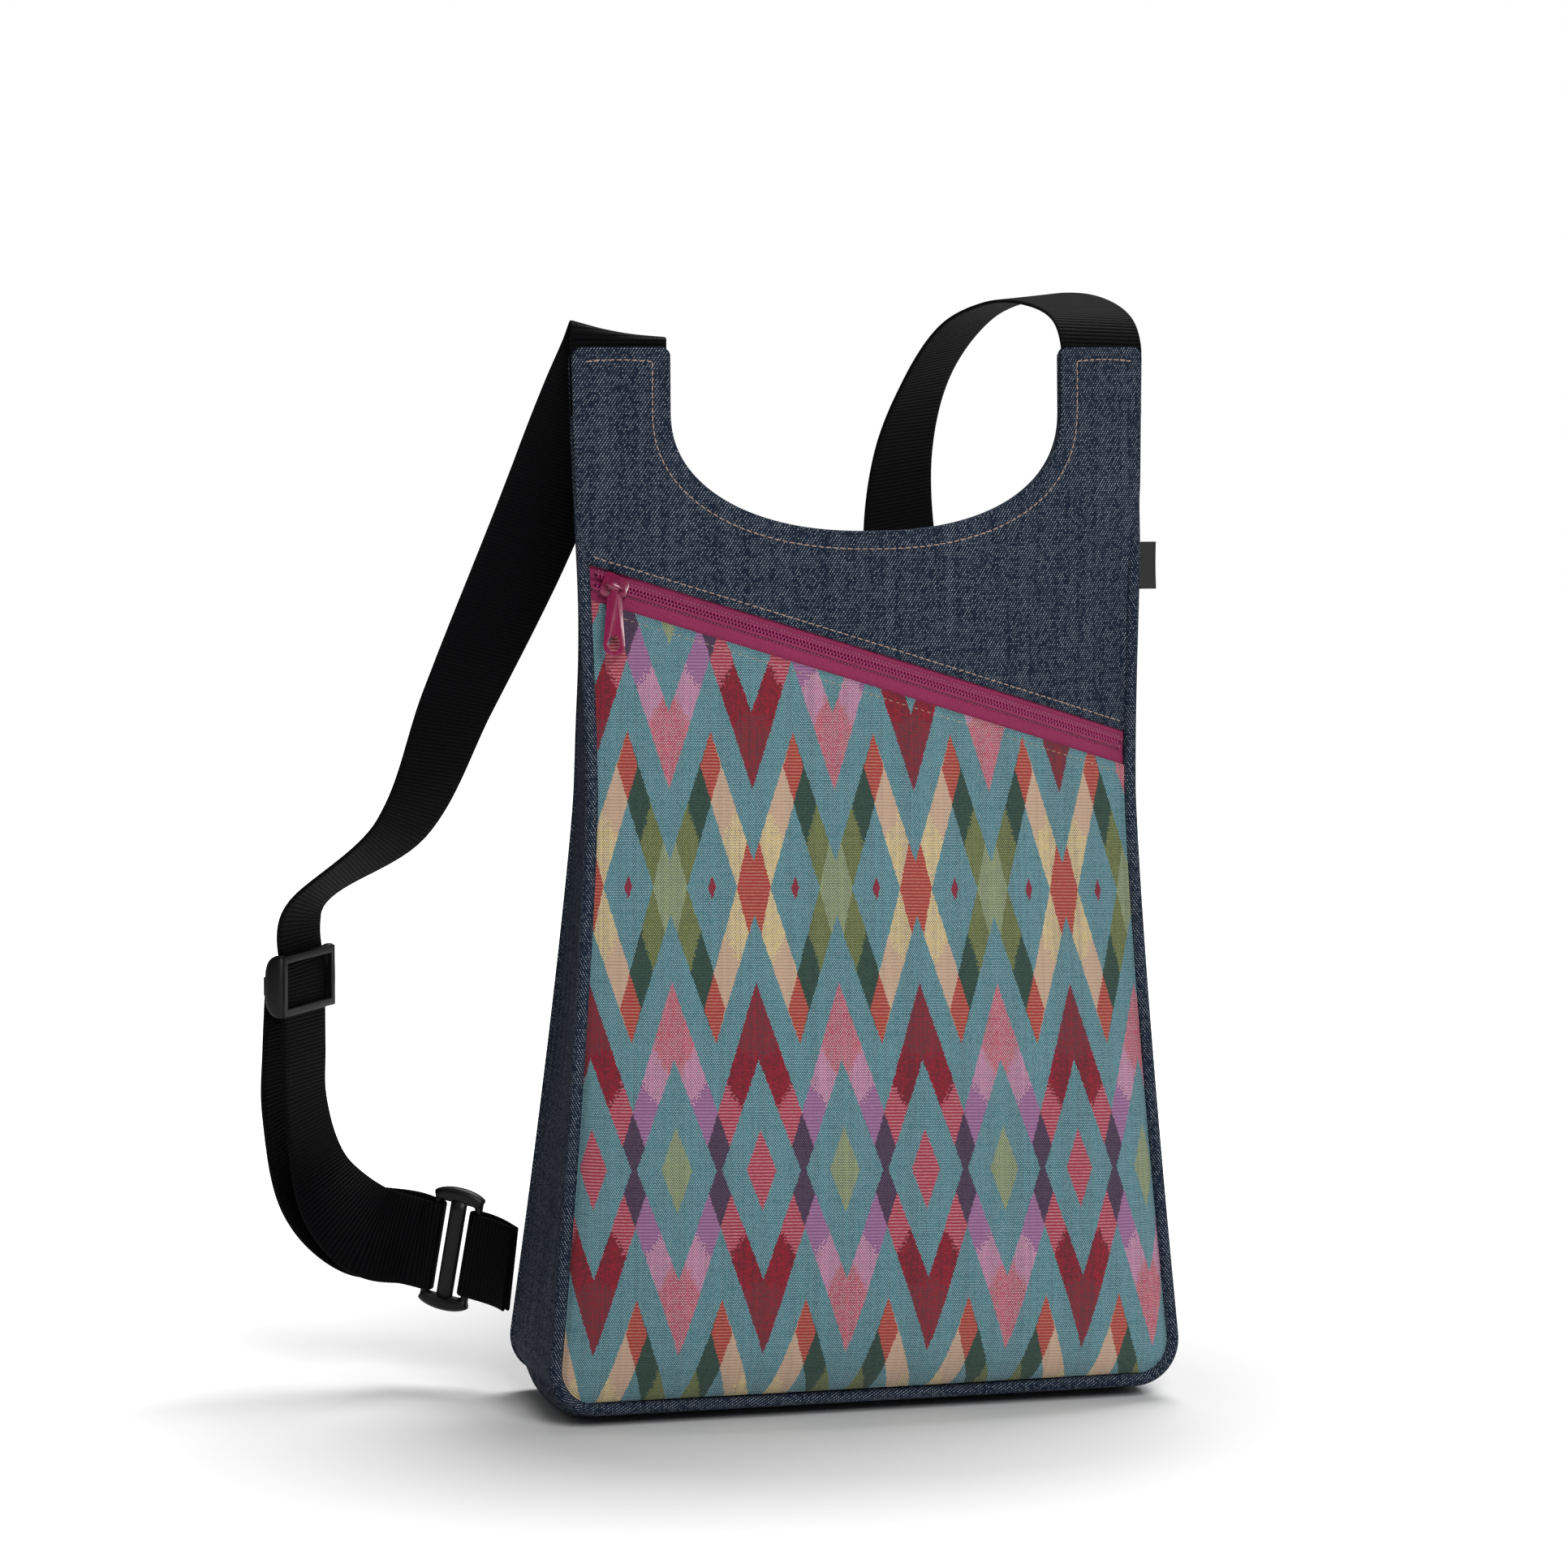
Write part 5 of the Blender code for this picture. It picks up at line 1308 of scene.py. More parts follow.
    def edges(self) -> None:
        """Close the free edges: both layers roll in and meet at the seam between them."""
        form = self.form
        neck = form.neck_path(160)
        left, right = self.side_path(-1.0), self.side_path(1.0)
        for name, path, out in (
            ("neck_edge", neck, self.neck_outward(neck)),
            ("tab_edge_left", left, self.side_outward(left, -1.0)),
            ("tab_edge_right", right, self.side_outward(right, 1.0)),
        ):
            front = form.front_y(path[:, 0], path[:, 1])
            width = form.back_y(path[:, 0], path[:, 1]) - front
            turn = np.linspace(0.0, math.pi / 2, 5)
            radius = self.edge_radius
            roll = [(-radius * (1.0 - math.sin(t)), radius * (1.0 - math.cos(t))) for t in turn]
            levels = [(shift, np.full(width.shape, deep)) for shift, deep in roll]
            levels += [(shift, width * share) for shift, share in self.seam_groove]
            levels += [(shift, width - deep) for shift, deep in roll[::-1]]
            rows = []
            for shift, deep in levels:
                place = path + out * shift
                rows.append(stack(place[:, 0], front + deep, place[:, 1]))
            points = np.array(rows)
            cloth = np.stack(np.broadcast_arrays(lengths(points, 0), lengths(path, 0)), axis=-1)
            middle = len(path) // 2
            facing = (out[middle, 0], 0.0, out[middle, 1])
            piece = link_piece("yoke_" + name, grid_mesh(name, points, cloth, False, facing), self.finish)
            dress(piece, "front_yoke")

    def neck_outward(self, neck: np.ndarray) -> np.ndarray:
        """Direction from the cloth into the neck opening, in x and z."""
        along = unit(np.gradient(neck, axis=0))
        return np.stack([-along[:, 1], along[:, 0]], axis=-1)

    def side_outward(self, path: np.ndarray, sign: float) -> np.ndarray:
        """Direction out of the tab's side, which turns up round its top corner."""
        corner_z = self.form.tab_top - 0.0015
        rise = np.maximum(0.0, (path[:, 1] - corner_z) * 400.0)
        return unit(np.stack([np.full(len(path), sign), rise], axis=-1))

    def side_path(self, sign: float) -> np.ndarray:
        """Free side edge from where the gusset ends to the tab's rounded corner."""
        form = self.form
        z = np.linspace(form.piping_top - 0.030, form.tab_top - self.corner, 90)
        turn = np.linspace(0.0, math.pi / 2, 10)[1:]
        top = float(form.yoke_half(np.array(form.tab_top)))
        x = np.concatenate([form.side_half(z) - form.back_margin, top - self.corner * (1.0 - np.cos(turn))])
        z = np.concatenate([z, form.tab_top - self.corner * (1.0 - np.sin(turn))])
        return np.stack([sign * x, z], axis=-1)

    def stitching(self) -> None:
        """Sew the zip row, the neck row and the row across each tab."""
        form = self.form
        row_across = form.zip_upper + self.stitch_margin
        left, right = form.fold_x(-1.0, row_across), form.fold_x(1.0, row_across)
        x = np.linspace(left + 0.0005, right - 0.0005, 200)
        self.sew("zip_row_stitching", x, form.zip_z(x, row_across), self.stitch_pitch)
        neck = form.neck_path(140, self.neck_row)
        neck = neck[(neck[:, 1] < form.tab_top - 0.0050)]
        self.sew("neck_row_stitching", neck[:, 0], neck[:, 1], self.stitch_pitch)
        for sign, name in ((-1.0, "left"), (1.0, "right")):
            x = sign * np.linspace(form.neck_half + self.neck_row - 0.0006, form.shoulder_half - 0.0062, 30)
            z = np.full(x.shape, form.tab_top - 0.0060) + 0.0008 * np.sin(np.linspace(0.0, math.pi, 30))
            self.sew("tab_row_stitching_" + name, x, z, self.stitch_pitch)
            x = sign * np.linspace(form.shoulder_half - 0.0125, form.shoulder_half - 0.0058, 8)
            z = np.linspace(form.tab_top - 0.0052, form.tab_top - 0.0060, 8)
            self.sew("tab_tack_stitching_" + name, x, z, 0.0030, 0.0002)


@dataclass
class BackPanel:
    """One denim back, from the base seam to the neck and the tops of the tabs."""

    form: BagForm
    finish: Finish = field(default_factory=Denim)
    waves: tuple[tuple[float, ...], ...] = ((52.0, 40.0, 0.0, 0.0004), (-18.0, 33.0, 0.0, 0.0005))

    def build(self) -> None:
        """Make the back from a fan of columns between its outline and the neck."""
        form = self.form
        low = form.outline(form.back_margin - form.piping, form.tab_top - 0.004, 70, 12, 50)
        outer = np.vstack([
            [low[0, 0] + 0.004, form.tab_top], low, [low[-1, 0] - 0.004, form.tab_top],
        ])
        neck = form.neck_path(120)
        share = np.concatenate([[0.0], np.linspace(0.02, 0.98, len(low)), [1.0]])
        run = lengths(neck, 0)
        inner = read_at(share * run[-1], run, neck)
        mix = np.concatenate([[0.0, 0.01, 0.02, 0.04, 0.07], np.linspace(0.10, 1.0, 60)])[:, None, None]
        flat = outer[None] * (1.0 - mix) + inner[None] * mix
        x, z = flat[..., 0], flat[..., 1]
        wave = ripples(x, z, self.waves)
        calm = np.clip(mix[..., 0] * 8.0, 0.0, 1.0) * np.clip((1.0 - mix[..., 0]) * 8.0, 0.0, 1.0)
        y = form.back_y(x, z) - form.cloth * 0.1 + np.minimum(wave, 0.0003) * calm
        points = stack(x, y, z)
        panel = cloth_sheet(
            "back_panel_cloth", points, np.stack([-x, z], axis=-1), self.finish, (0, 1, 0), form.cloth * 0.8,
        )
        dress(panel, "back_panel")
        inset = form.neck_path(140, 0.0078)
        inset = inset[inset[:, 1] < form.tab_top - 0.006]
        path = stack(inset[:, 0], form.back_y(inset[:, 0], inset[:, 1]), inset[:, 1])
        stitch_row("back_neck_stitching", path, np.tile(BACKWARD, (len(path), 1)), Thread(), 0.0031)
        LOG.info("back panel built")


@dataclass
class Gusset:
    """Tapering denim band: up the left side, under the base and up the right."""

    form: BagForm
    finish: Finish = field(default_factory=Denim)

    def build(self) -> None:
        """Make the band between the piping and the back's edge, and the back's welt."""
        form = self.form
        path = form.outline(-form.cloth / 2, form.gusset_end)
        x, z = path[:, 0], path[:, 1]
        along = unit(np.gradient(path, axis=0))
        out_x = np.where(along[:, 1] * x < 0, -along[:, 1], along[:, 1])
        out_z = np.where(z < 0.05, np.minimum(-along[:, 0], 0.0), -along[:, 0])
        share = np.linspace(0.0, 1.0, 40)[:, None]
        start = form.seam_y(z) + form.inset - 0.0008
        end = form.back_y(form.seam_half(z), z) - form.cloth * 0.6
        y = start[None] * (1.0 - share) + end[None] * share
        base_drop = form.seam_base - form.cloth / 2
        side_swell = 0.0035 * smoothstep(0.25, 0.31, z) - 0.0030 * np.exp(-(((z - 0.16) / 0.06) ** 2))
        narrow = np.clip((end - start) / 0.030, 0.0, 1.0)
        drop = base_drop * smoothstep(0.6, 1.0, -out_z) + side_swell * narrow**2
        swell = drop[None] * (1.0 - np.abs(2.0 * share - 1.0) ** 3.5)
        run = lengths(path, 0)
        ripple = 0.0005 * np.sin(run * 46.0)[None] * np.sin(share * math.pi) * smoothstep(0.03, 0.08, z)[None]
        points = stack(x + out_x * (swell + ripple), y, z + out_z * (swell + ripple))
        cloth = np.stack(np.broadcast_arrays(share * 0.09, run[None]), axis=-1)
        band = cloth_sheet("gusset_cloth", points, cloth, self.finish, (0, 0, -1), form.cloth * 0.8)
        dress(band, "gusset")
        self.welt()
        LOG.info("gusset built")

    def welt(self) -> None:
        """Close the back seam with the narrow turned edge of the back cloth."""
        form = self.form
        path = form.outline(-form.cloth / 2 + 0.0004, form.gusset_end + 0.004)
        y = form.back_y(form.seam_half(path[:, 1]), path[:, 1]) - form.cloth * 0.75
        line = stack(path[:, 0], y, path[:, 1])
        side, up = path_frame(line, BACKWARD)
        piece = swept("back_seam_welt", line, side, up, round_profile(0.0009, 10), self.finish)
        dress(piece, "gusset")


@dataclass
class Piping:
    """Cord covered in denim round the front seam, which thins out beside the yoke."""

    form: BagForm
    finish: Finish = field(default_factory=Denim)

    def build(self) -> None:
        """Carry a circle round the seam, its radius thinning beside the yoke."""
        form = self.form
        path = form.outline(0.0, form.piping_top + form.piping_tail, 170, 24, 110)
        x, z = path[:, 0], path[:, 1]
        size = form.piping_size(z)
        x = np.sign(x) * (np.abs(x) + (form.piping - size) * 0.7)
        y = form.seam_y(z) + 0.6 * (form.piping - size)
        line = stack(x, y, z)
        side, up = path_frame(line, BACKWARD)
        ring = round_profile(1.0, 16)
        around = side[:, None] * ring[None, :, :1] + up[:, None] * ring[None, :, 1:]
        points = line[:, None] + size[:, None, None] * around
        round_length = np.linspace(0.0, 2 * math.pi * form.piping, 17)
        cloth = np.stack(np.broadcast_arrays(round_length[None], lengths(line, 0)[:, None]), axis=-1)
        mesh = capped(grid_mesh("front_piping_cover", points, cloth, True))
        cord = link_piece("front_piping_cover", mesh, self.finish)
        dress(cord, "front_piping")
        LOG.info("piping built")


# The zip


@dataclass
class Zip:
    """Slanting coil zip: two tapes, two combs of coil turns, the slider and its pull."""

    form: BagForm
    nodes: dict[str, bpy.types.Object]
    tape_finish: Finish = field(default_factory=ZipCloth)
    coil_finish: Finish = field(default_factory=Coil)
    tape_edge: float = 0.0006
    tape_seam: float = 0.009
    tape_thickness: float = 0.0007
    pitch: float = 0.00150
    reach: float = 0.0008
    outer: float = 0.0023
    height: float = 0.0022
    post: float = 0.0010
    slider_length: float = 0.0110
    end_x: float = 0.1115
    hidden_end_left: float = 0.0042
    hidden_end_right: float = 0.00147
    closed_share: float = 0.12
    edge_ramp: float = 0.004

    def __post_init__(self) -> None:
        """Work out the circle that the teeth line follows."""
        form = self.form
        cosine = math.cos(form.zip_angle)
        places = []
        for x in (-form.zip_stop, 0.0, form.zip_stop):
            z = form.zip_z(x)
            places.append((x / cosine, float(form.front_y(np.array(x), np.array(z)))))
        (ax, ay), (bx, by), (cx, cy) = places
        twice = 2.0 * (ax * (by - cy) + bx * (cy - ay) + cx * (ay - by))
        a2, b2, c2 = ax**2 + ay**2, bx**2 + by**2, cx**2 + cy**2
        self.centre_s = (a2 * (by - cy) + b2 * (cy - ay) + c2 * (ay - by)) / twice
        self.centre_y = (a2 * (cx - bx) + b2 * (ax - cx) + c2 * (bx - ax)) / twice
        self.radius = math.hypot(ax - self.centre_s, ay - self.centre_y)
        self.centre = UPWARD * form.zip_mid + form.zip_along * self.centre_s + BACKWARD * self.centre_y

    def angle_at(self, x: float) -> float:
        """Angle round the zip's axis where the teeth line has this x."""
        return math.asin((x / math.cos(self.form.zip_angle) - self.centre_s) / self.radius)

    def point(self, angle: np.ndarray, across: np.ndarray, depth: np.ndarray) -> np.ndarray:
        """Point by angle round the axis, distance across and depth inwards."""
        angle, across, depth = np.broadcast_arrays(angle, across, depth)
        radial = self.form.zip_along * np.sin(angle)[..., None] - BACKWARD * np.cos(angle)[..., None]
        aside = self.form.zip_across * across[..., None]
        return self.centre + radial * (self.radius - depth)[..., None] + aside

    def toothed(self, angle: np.ndarray) -> np.ndarray:
        """Return 1 along the teeth and 0 beyond them, where the tapes' edges come together."""
        left, right = self.angle_at(-self.form.zip_stop), self.angle_at(self.end_x)
        ramp = self.edge_ramp / self.radius
        return smoothstep(left - ramp, left, angle) * (1.0 - smoothstep(right - ramp, right, angle))

    def parting(self, angle: np.ndarray) -> np.ndarray:
        """How far each comb stands off the centre line, as the slider parts them."""
        centre = self.angle_at(-self.form.zip_stop)
        reach = self.slider_length / 2 / self.radius
        full = self.reach + self.post / 2 + self.form.gap
        return full * (1.0 - smoothstep(centre - 0.45 * reach, centre + 0.55 * reach, angle))

    def tape(self, name: str, sign: float, margin: float) -> None:
        """Make one tape, from beside the coil to its hidden seam edge."""
        form = self.form
        marks = [self.tape_edge, 0.0042, 0.0055, margin, margin + self.tape_seam]
        spans = [np.linspace(a, b, 5)[:-1] for a, b in zip(marks, marks[1:])]
        across = sign * np.concatenate(spans + [marks[-1:]])
        share = np.linspace(0.0, 1.0, 181)
        clear = form.tucked
        rows = []
        for offset in across:
            ends = []
            for end in (-1.0, 1.0):
                x = end * form.waist_half
                for _ in range(12):
                    x = end * float(form.seam_half(np.array(form.zip_z(x, offset)), clear))
                ends.append((x - offset * math.sin(form.zip_angle)) / math.cos(form.zip_angle))
            s = ends[0] + (ends[1] - ends[0]) * share
            depth = form.cloth + form.gap
            angle = np.arcsin((s - self.centre_s) / (self.radius - depth))
            inner = offset
            if abs(offset) == self.tape_edge:
                inner = offset * (self.closed_share + (1.0 - self.closed_share) * self.toothed(angle))
            row = self.point(angle, inner, np.full(angle.shape, depth))
            cloth_y = form.front_y(row[:, 0], row[:, 2]) + depth
            blend = float(smoothstep(0.0042, 0.0055, abs(offset)))
            row[:, 1] = row[:, 1] * (1.0 - blend) + cloth_y * blend
            rows.append(row)
        points = np.array(rows)
        run = lengths(points, 1)
        cloth = np.stack([np.broadcast_to(across[:, None], run.shape), run], axis=-1)
        tape = cloth_sheet(name + "_cloth", points, cloth, self.tape_finish, (0, -1, 0), self.tape_thickness)
        dress(tape, name)

    def comb(self, name: str, sign: float, phase: float) -> None:
        """Wind one coil: each turn is a loop of filament whose head reaches the other side.

        A turn runs round a flattened oval in the plane across the zip, wide where the
        head hooks past the centre line, and moves one pitch along in each round.
        """
        form = self.form
        start = self.angle_at(-self.end_x - self.hidden_end_left)
        end = self.angle_at(self.end_x + self.hidden_end_right)
        count = int((end - start) / (self.pitch / self.radius)) - 1
        per_turn = 14
        t = np.arange(count * per_turn + 1) / per_turn
        wave = 2 * math.pi * t
        lag = 0.18 * np.sin(wave)
        angle = start + (t + phase + lag) * self.pitch / self.radius
        middle = (self.outer - self.reach) / 2
        half = (self.outer + self.reach) / 2 - 0.00048
        off = middle + half * np.cos(wave + math.pi) + self.parting(angle)
        level = form.cloth - self.height / 2 + (self.height / 2 - 0.00048) * np.sin(wave)
        line = self.point(angle, sign * off, level)
        side, up = path_frame(line, form.zip_along)
        coil = swept(name + "_coil", line, side, up, round_profile(0.00050, 7), self.coil_finish)
        dress(coil, name)
        cord_angle = np.linspace(start, end, 240)
        off = self.outer - 0.0007 + self.parting(cord_angle)
        cord = self.point(cord_angle, sign * off, np.full(cord_angle.shape, form.cloth - self.height * 0.5))
        side, up = path_frame(cord, form.zip_across)
        piece = swept(name + "_core", cord, side, up, round_profile(0.00095, 10, 0.75), self.tape_finish)
        dress(piece, name)
        off = self.outer + 0.0003 + self.parting(cord_angle)
        row = self.point(cord_angle, sign * off, np.full(cord_angle.shape, form.cloth + form.gap))
        face = unit(self.point(cord_angle, 0.0, -1.0) - self.point(cord_angle, 0.0, 0.0))
        stitch_row(name + "_sewing", row, face, CoilThread(), self.pitch, 0.62, 0.00026)

    def build(self) -> None:
        """Make the whole zip."""
        form = self.form
        self.tape("zip_tape_upper", 1.0, form.zip_upper)
        self.tape("zip_tape_lower", -1.0, form.zip_lower)
        self.comb("zip_teeth_upper", 1.0, 0.5)
        self.comb("zip_teeth_lower", -1.0, 1.0)
        rounded_copy("zip_slider", "slider", Enamel(), 0.00022, self.nodes)
        rounded_copy("zip_pull", "pull", Enamel(), 0.00030, self.nodes)
        LOG.info("zip built")


# Straps and fittings


@dataclass
class StrapRoute:
    """Route of one strap: stations of a place and the webbing's cross direction."""

    side: str
    sign: float
    ridge_slope: float
    upper: list[tuple[Sequence[float], Sequence[float]]]
    adjuster: Sequence[float]
    adjuster_across: Sequence[float]
    lower: list[tuple[Sequence[float], Sequence[float]]]
    loop: Sequence[float]
    loop_along: Sequence[float]
    loop_across: Sequence[float]
    stub_end: tuple[float, float]


LEFT = StrapRoute(
    "left", -1.0, 0.18,
    upper=[
        ((-0.1130, -0.0160, 0.4280), (0.93, -0.10, -0.34)),
        ((-0.1220, 0.0060, 0.3960), (0.92, 0.14, -0.36)),
        ((-0.1360, 0.0210, 0.3560), (0.87, 0.26, -0.36)),
        ((-0.1580, 0.0400, 0.2990), (0.76, 0.46, -0.30)),
        ((-0.1800, 0.0520, 0.2450), (0.66, 0.66, -0.20)),
    ],
    adjuster=(-0.2220, 0.0600, 0.1790),
    adjuster_across=(0.588, 0.809, 0.0),
    lower=[
        ((-0.2215, 0.0600, 0.1250), (0.56, 0.80, 0.10)),
        ((-0.2130, 0.0600, 0.0900), (0.48, 0.58, 0.60)),
        ((-0.1950, 0.0590, 0.0700), (0.30, 0.20, 0.90)),
    ],
    loop=(-0.1590, 0.0560, 0.0605),
    loop_along=(0.86, -0.46, -0.20),
    loop_across=(0.30, -0.28, 0.90),
    stub_end=(-0.1360, 0.0540),
)
RIGHT_LOOP = np.array([0.1380, 0.0665, 0.0605])


def turned(vector: Sequence[float]) -> np.ndarray:
    """Return a left-hand direction turned to the right-hand strap, 50 degrees about Z."""
    x, y, z = vector
    turn = math.radians(-50.0)
    return np.array([
        x * math.cos(turn) - y * math.sin(turn), x * math.sin(turn) + y * math.cos(turn), z,
    ])


def moved(place: Sequence[float]) -> np.ndarray:
    """Return the place beside the right-hand loop that matches a left-hand one."""
    return RIGHT_LOOP + turned(np.asarray(place) - np.asarray(LEFT.loop))


RIGHT = StrapRoute(
    "right", 1.0, 0.0,
    upper=[
        ((0.1035, -0.0250, 0.4600), (0.97, 0.24, 0.0)),
        ((0.0985, 0.0060, 0.4690), (0.98, 0.18, 0.05)),
        ((0.0880, 0.0380, 0.4690), (0.90, 0.42, 0.10)),
        ((0.0750, 0.0640, 0.4600), (0.80, 0.58, 0.12)),
        ((0.0630, 0.0840, 0.4360), (0.74, 0.66, 0.08)),
        ((0.0555, 0.0980, 0.4000), (0.82, 0.55, 0.0)),
        ((0.0580, 0.1080, 0.3500), (0.94, 0.30, 0.0)),
        ((0.0740, 0.1140, 0.2850), (0.98, 0.16, 0.0)),
        ((0.0890, 0.1160, 0.2380), (0.99, 0.10, 0.0)),
    ],
    adjuster=moved(LEFT.adjuster),
    adjuster_across=turned(LEFT.adjuster_across),
    lower=[(moved(place), turned(across)) for place, across in LEFT.lower],
    loop=RIGHT_LOOP,
    loop_along=turned(LEFT.loop_along),
    loop_across=turned(LEFT.loop_across),
    stub_end=(0.1360, 0.0540),
)


@dataclass
class Strap:
    """Shoulder strap of webbing, with its adjuster, loop and sewn stub."""

    form: BagForm
    route: StrapRoute
    nodes: dict[str, bpy.types.Object]
    web: Finish = field(default_factory=Webbing)
    plastic: Finish = field(default_factory=Moulded)
    width: float = 0.040
    thickness: float = 0.0016
    in_tab: float = 0.028
    ridge_height: float = 0.0015
    ridge_radius: float = 0.0030
    bar: float = 0.0032
    slot_gap: float = 0.0060
    end_line: float = 0.0228
    end_bow: float = 0.0022
    end_reach: float = 0.98
    loop_end_size: tuple[tuple[float, float], ...] = ((0.0020, 0.0010), (0.0016, 0.0012))
    loop_bar_size: tuple[float, float] = (0.0037, 0.0019)
    adjuster_half: float = 0.0132
    adjuster_sink: float = 0.0026
    adjuster_end_size: tuple[tuple[float, float], ...] = ((0.0015, 0.0007), (0.0014, 0.0032))
    samples: int = 16

    def __post_init__(self) -> None:
        """Work out the axes of the adjuster and the loop."""
        route = self.route
        self.down = -UPWARD
        self.adjuster = np.asarray(route.adjuster, dtype=float)
        self.adjuster_across = unit(route.adjuster_across)
        self.adjuster_face = np.cross(self.down, self.adjuster_across)
        self.loop = np.asarray(route.loop, dtype=float)
        self.loop_along = unit(route.loop_along)
        cross = np.asarray(route.loop_across, dtype=float)
        cross = unit(cross)
        self.loop_across = unit(cross - self.loop_along * np.dot(cross, self.loop_along))
        self.loop_face = np.cross(self.loop_along, self.loop_across)
        self.wrap = self.bar / 2 + 2 * self.form.gap + self.thickness / 2

    def ribbon(self, name: str, points: np.ndarray, across: np.ndarray, width: float) -> bpy.types.Object:
        """Make webbing: an oblong profile with rounded selvedges, carried along the route."""
        along = unit(np.gradient(points, axis=0))
        across = across - along * np.sum(across * along, axis=1, keepdims=True)
        across = unit(across)
        face = np.cross(along, across)
        half, thin = width / 2, self.thickness / 2
        turn = np.linspace(-math.pi / 2, math.pi / 2, 5)
        right = np.stack([half - thin + thin * np.cos(turn), thin * np.sin(turn)], axis=-1)
        flat = np.linspace(half - thin, -half + thin, 12)[1:-1]
        top = np.stack([flat, np.full(flat.shape, thin)], axis=-1)
        profile = np.vstack([right, top, -right, -top])
        return swept(name, points, across, face, profile, self.web)

    def tab_stations(self) -> list[tuple[np.ndarray, np.ndarray]]:
        """Straight stretch between the layers of the tab."""
        form = self.form
        x = self.route.sign * (form.neck_half + form.shoulder_half) / 2
        layer = form.cloth + 3 * form.gap + self.thickness / 2
        stations = []
        for z in (form.tab_top - self.in_tab, form.tab_top - 0.012, form.tab_top + 0.001):
            sides = (x - self.width / 2, x + self.width / 2)
            ends = [float(form.front_y(np.array(place_x), np.array(z))) for place_x in sides]
            place = np.array([x, sum(ends) / 2 + layer, z])
            stations.append((place, unit((self.width, ends[1] - ends[0], 0.0))))
        return stations

    def ridge(self) -> list[tuple[np.ndarray, np.ndarray]]:
        """Fold over the tab's top: a screw line about a slanting axis, half a turn long."""
        if not self.route.ridge_slope:
            return []
        start, across = self.tab_stations()[-1]
        rise = UPWARD
        line = unit(across - rise * self.route.ridge_slope)
        back = -np.cross(across, rise)
        share = float(np.dot(rise, line))
        upright = unit(rise - line * share)
        slip = share / math.sqrt(1.0 - share**2)
        keep, rest = float(np.dot(across, line)), float(np.dot(across, upright))
        start = start + rise * self.ridge_height
        stations = []
        for turn in np.linspace(0.0, math.pi, 7):
            place = start + self.ridge_radius * (
                line * slip * turn + back * (1.0 - math.cos(turn)) + upright * math.sin(turn)
            )
            stations.append((place, line * keep + rest * (upright * math.cos(turn) + back * math.sin(turn))))
        leaving = unit(2.0 * share * line - rise)
        place, cross = stations[-1]
        stations.append((place + leaving * 0.008 + back * 0.001, cross))
        return stations

    def strap(self) -> None:
        """Lay the webbing from the tab to the loop, and its return layer to the adjuster."""
        form, route = self.form, self.route
        stations = self.tab_stations() + self.ridge() + [(np.asarray(p), unit(w)) for p, w in route.upper]
        for shift in (-0.030, 0.0, 0.030):
            stations.append((self.adjuster + self.down * shift, self.adjuster_across))
        bar_place = self.loop - self.loop_along * (self.bar + self.slot_gap)
        near = bar_place + self.loop_face * self.wrap
        lower = [(np.asarray(p), unit(w)) for p, w in route.lower]
        lower += [(near - self.loop_along * 0.008, self.loop_across), (near, self.loop_across)]
        main = stations + lower
        samples = self.samples
        places = spline([p for p, _ in main], samples)
        crosses = spline([w for _, w in main], samples)
        first = (len(stations) - 2) * samples
        along = unit(np.gradient(places, axis=0))
        crosses = unit(crosses - along * np.sum(crosses * along, axis=1, keepdims=True))
        face = np.cross(along, crosses)
        at_bar = self.thickness + form.gap + 2 * self.wrap
        share = np.linspace(0.0, 1.0, len(places) - first)[:, None]
        spread = at_bar * (1 - share) + 2 * self.wrap * share + 0.004 * np.sin(math.pi * share)
        back = (places[first:] - face[first:] * spread)[::-1]
        back_cross = crosses[first:][::-1]
        turn = np.linspace(0.0, math.pi, 17)[1:-1][:, None]
        bend = bar_place + self.wrap * (self.loop_face * np.cos(turn) + self.loop_along * np.sin(turn))
        bend_cross = np.tile(self.loop_across, (len(bend), 1))
        front_layer = self.ribbon(
            f"strap_{route.side}_web", np.vstack([places, bend[:8]]),
            np.vstack([crosses, bend_cross[:8]]), self.width,
        )
        core = self.adjuster - self.adjuster_face * (at_bar - self.wrap)
        over = core - self.wrap * (self.adjuster_face * np.cos(turn) + self.down * np.sin(turn))
        front = core + self.adjuster_face * self.wrap
        tail = np.array([
            front, front + self.down * 0.004 - self.adjuster_face * 0.0004,
            front + self.down * 0.011 - self.adjuster_face * 0.0026,
            front + self.down * 0.018 - self.adjuster_face * 0.0032,
        ])
        rest = np.vstack([over, spline(tail, 4)])
        rest_cross = np.tile(self.adjuster_across, (len(rest), 1))
        return_layer = self.ribbon(
            f"strap_{route.side}_return", np.vstack([bend[7:], back, rest]),
            np.vstack([bend_cross[7:], back_cross, rest_cross]), self.width,
        )
        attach(front_layer, BAG)
        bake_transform(return_layer)
        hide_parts("strap_" + route.side)
        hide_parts("strap_" + route.side)

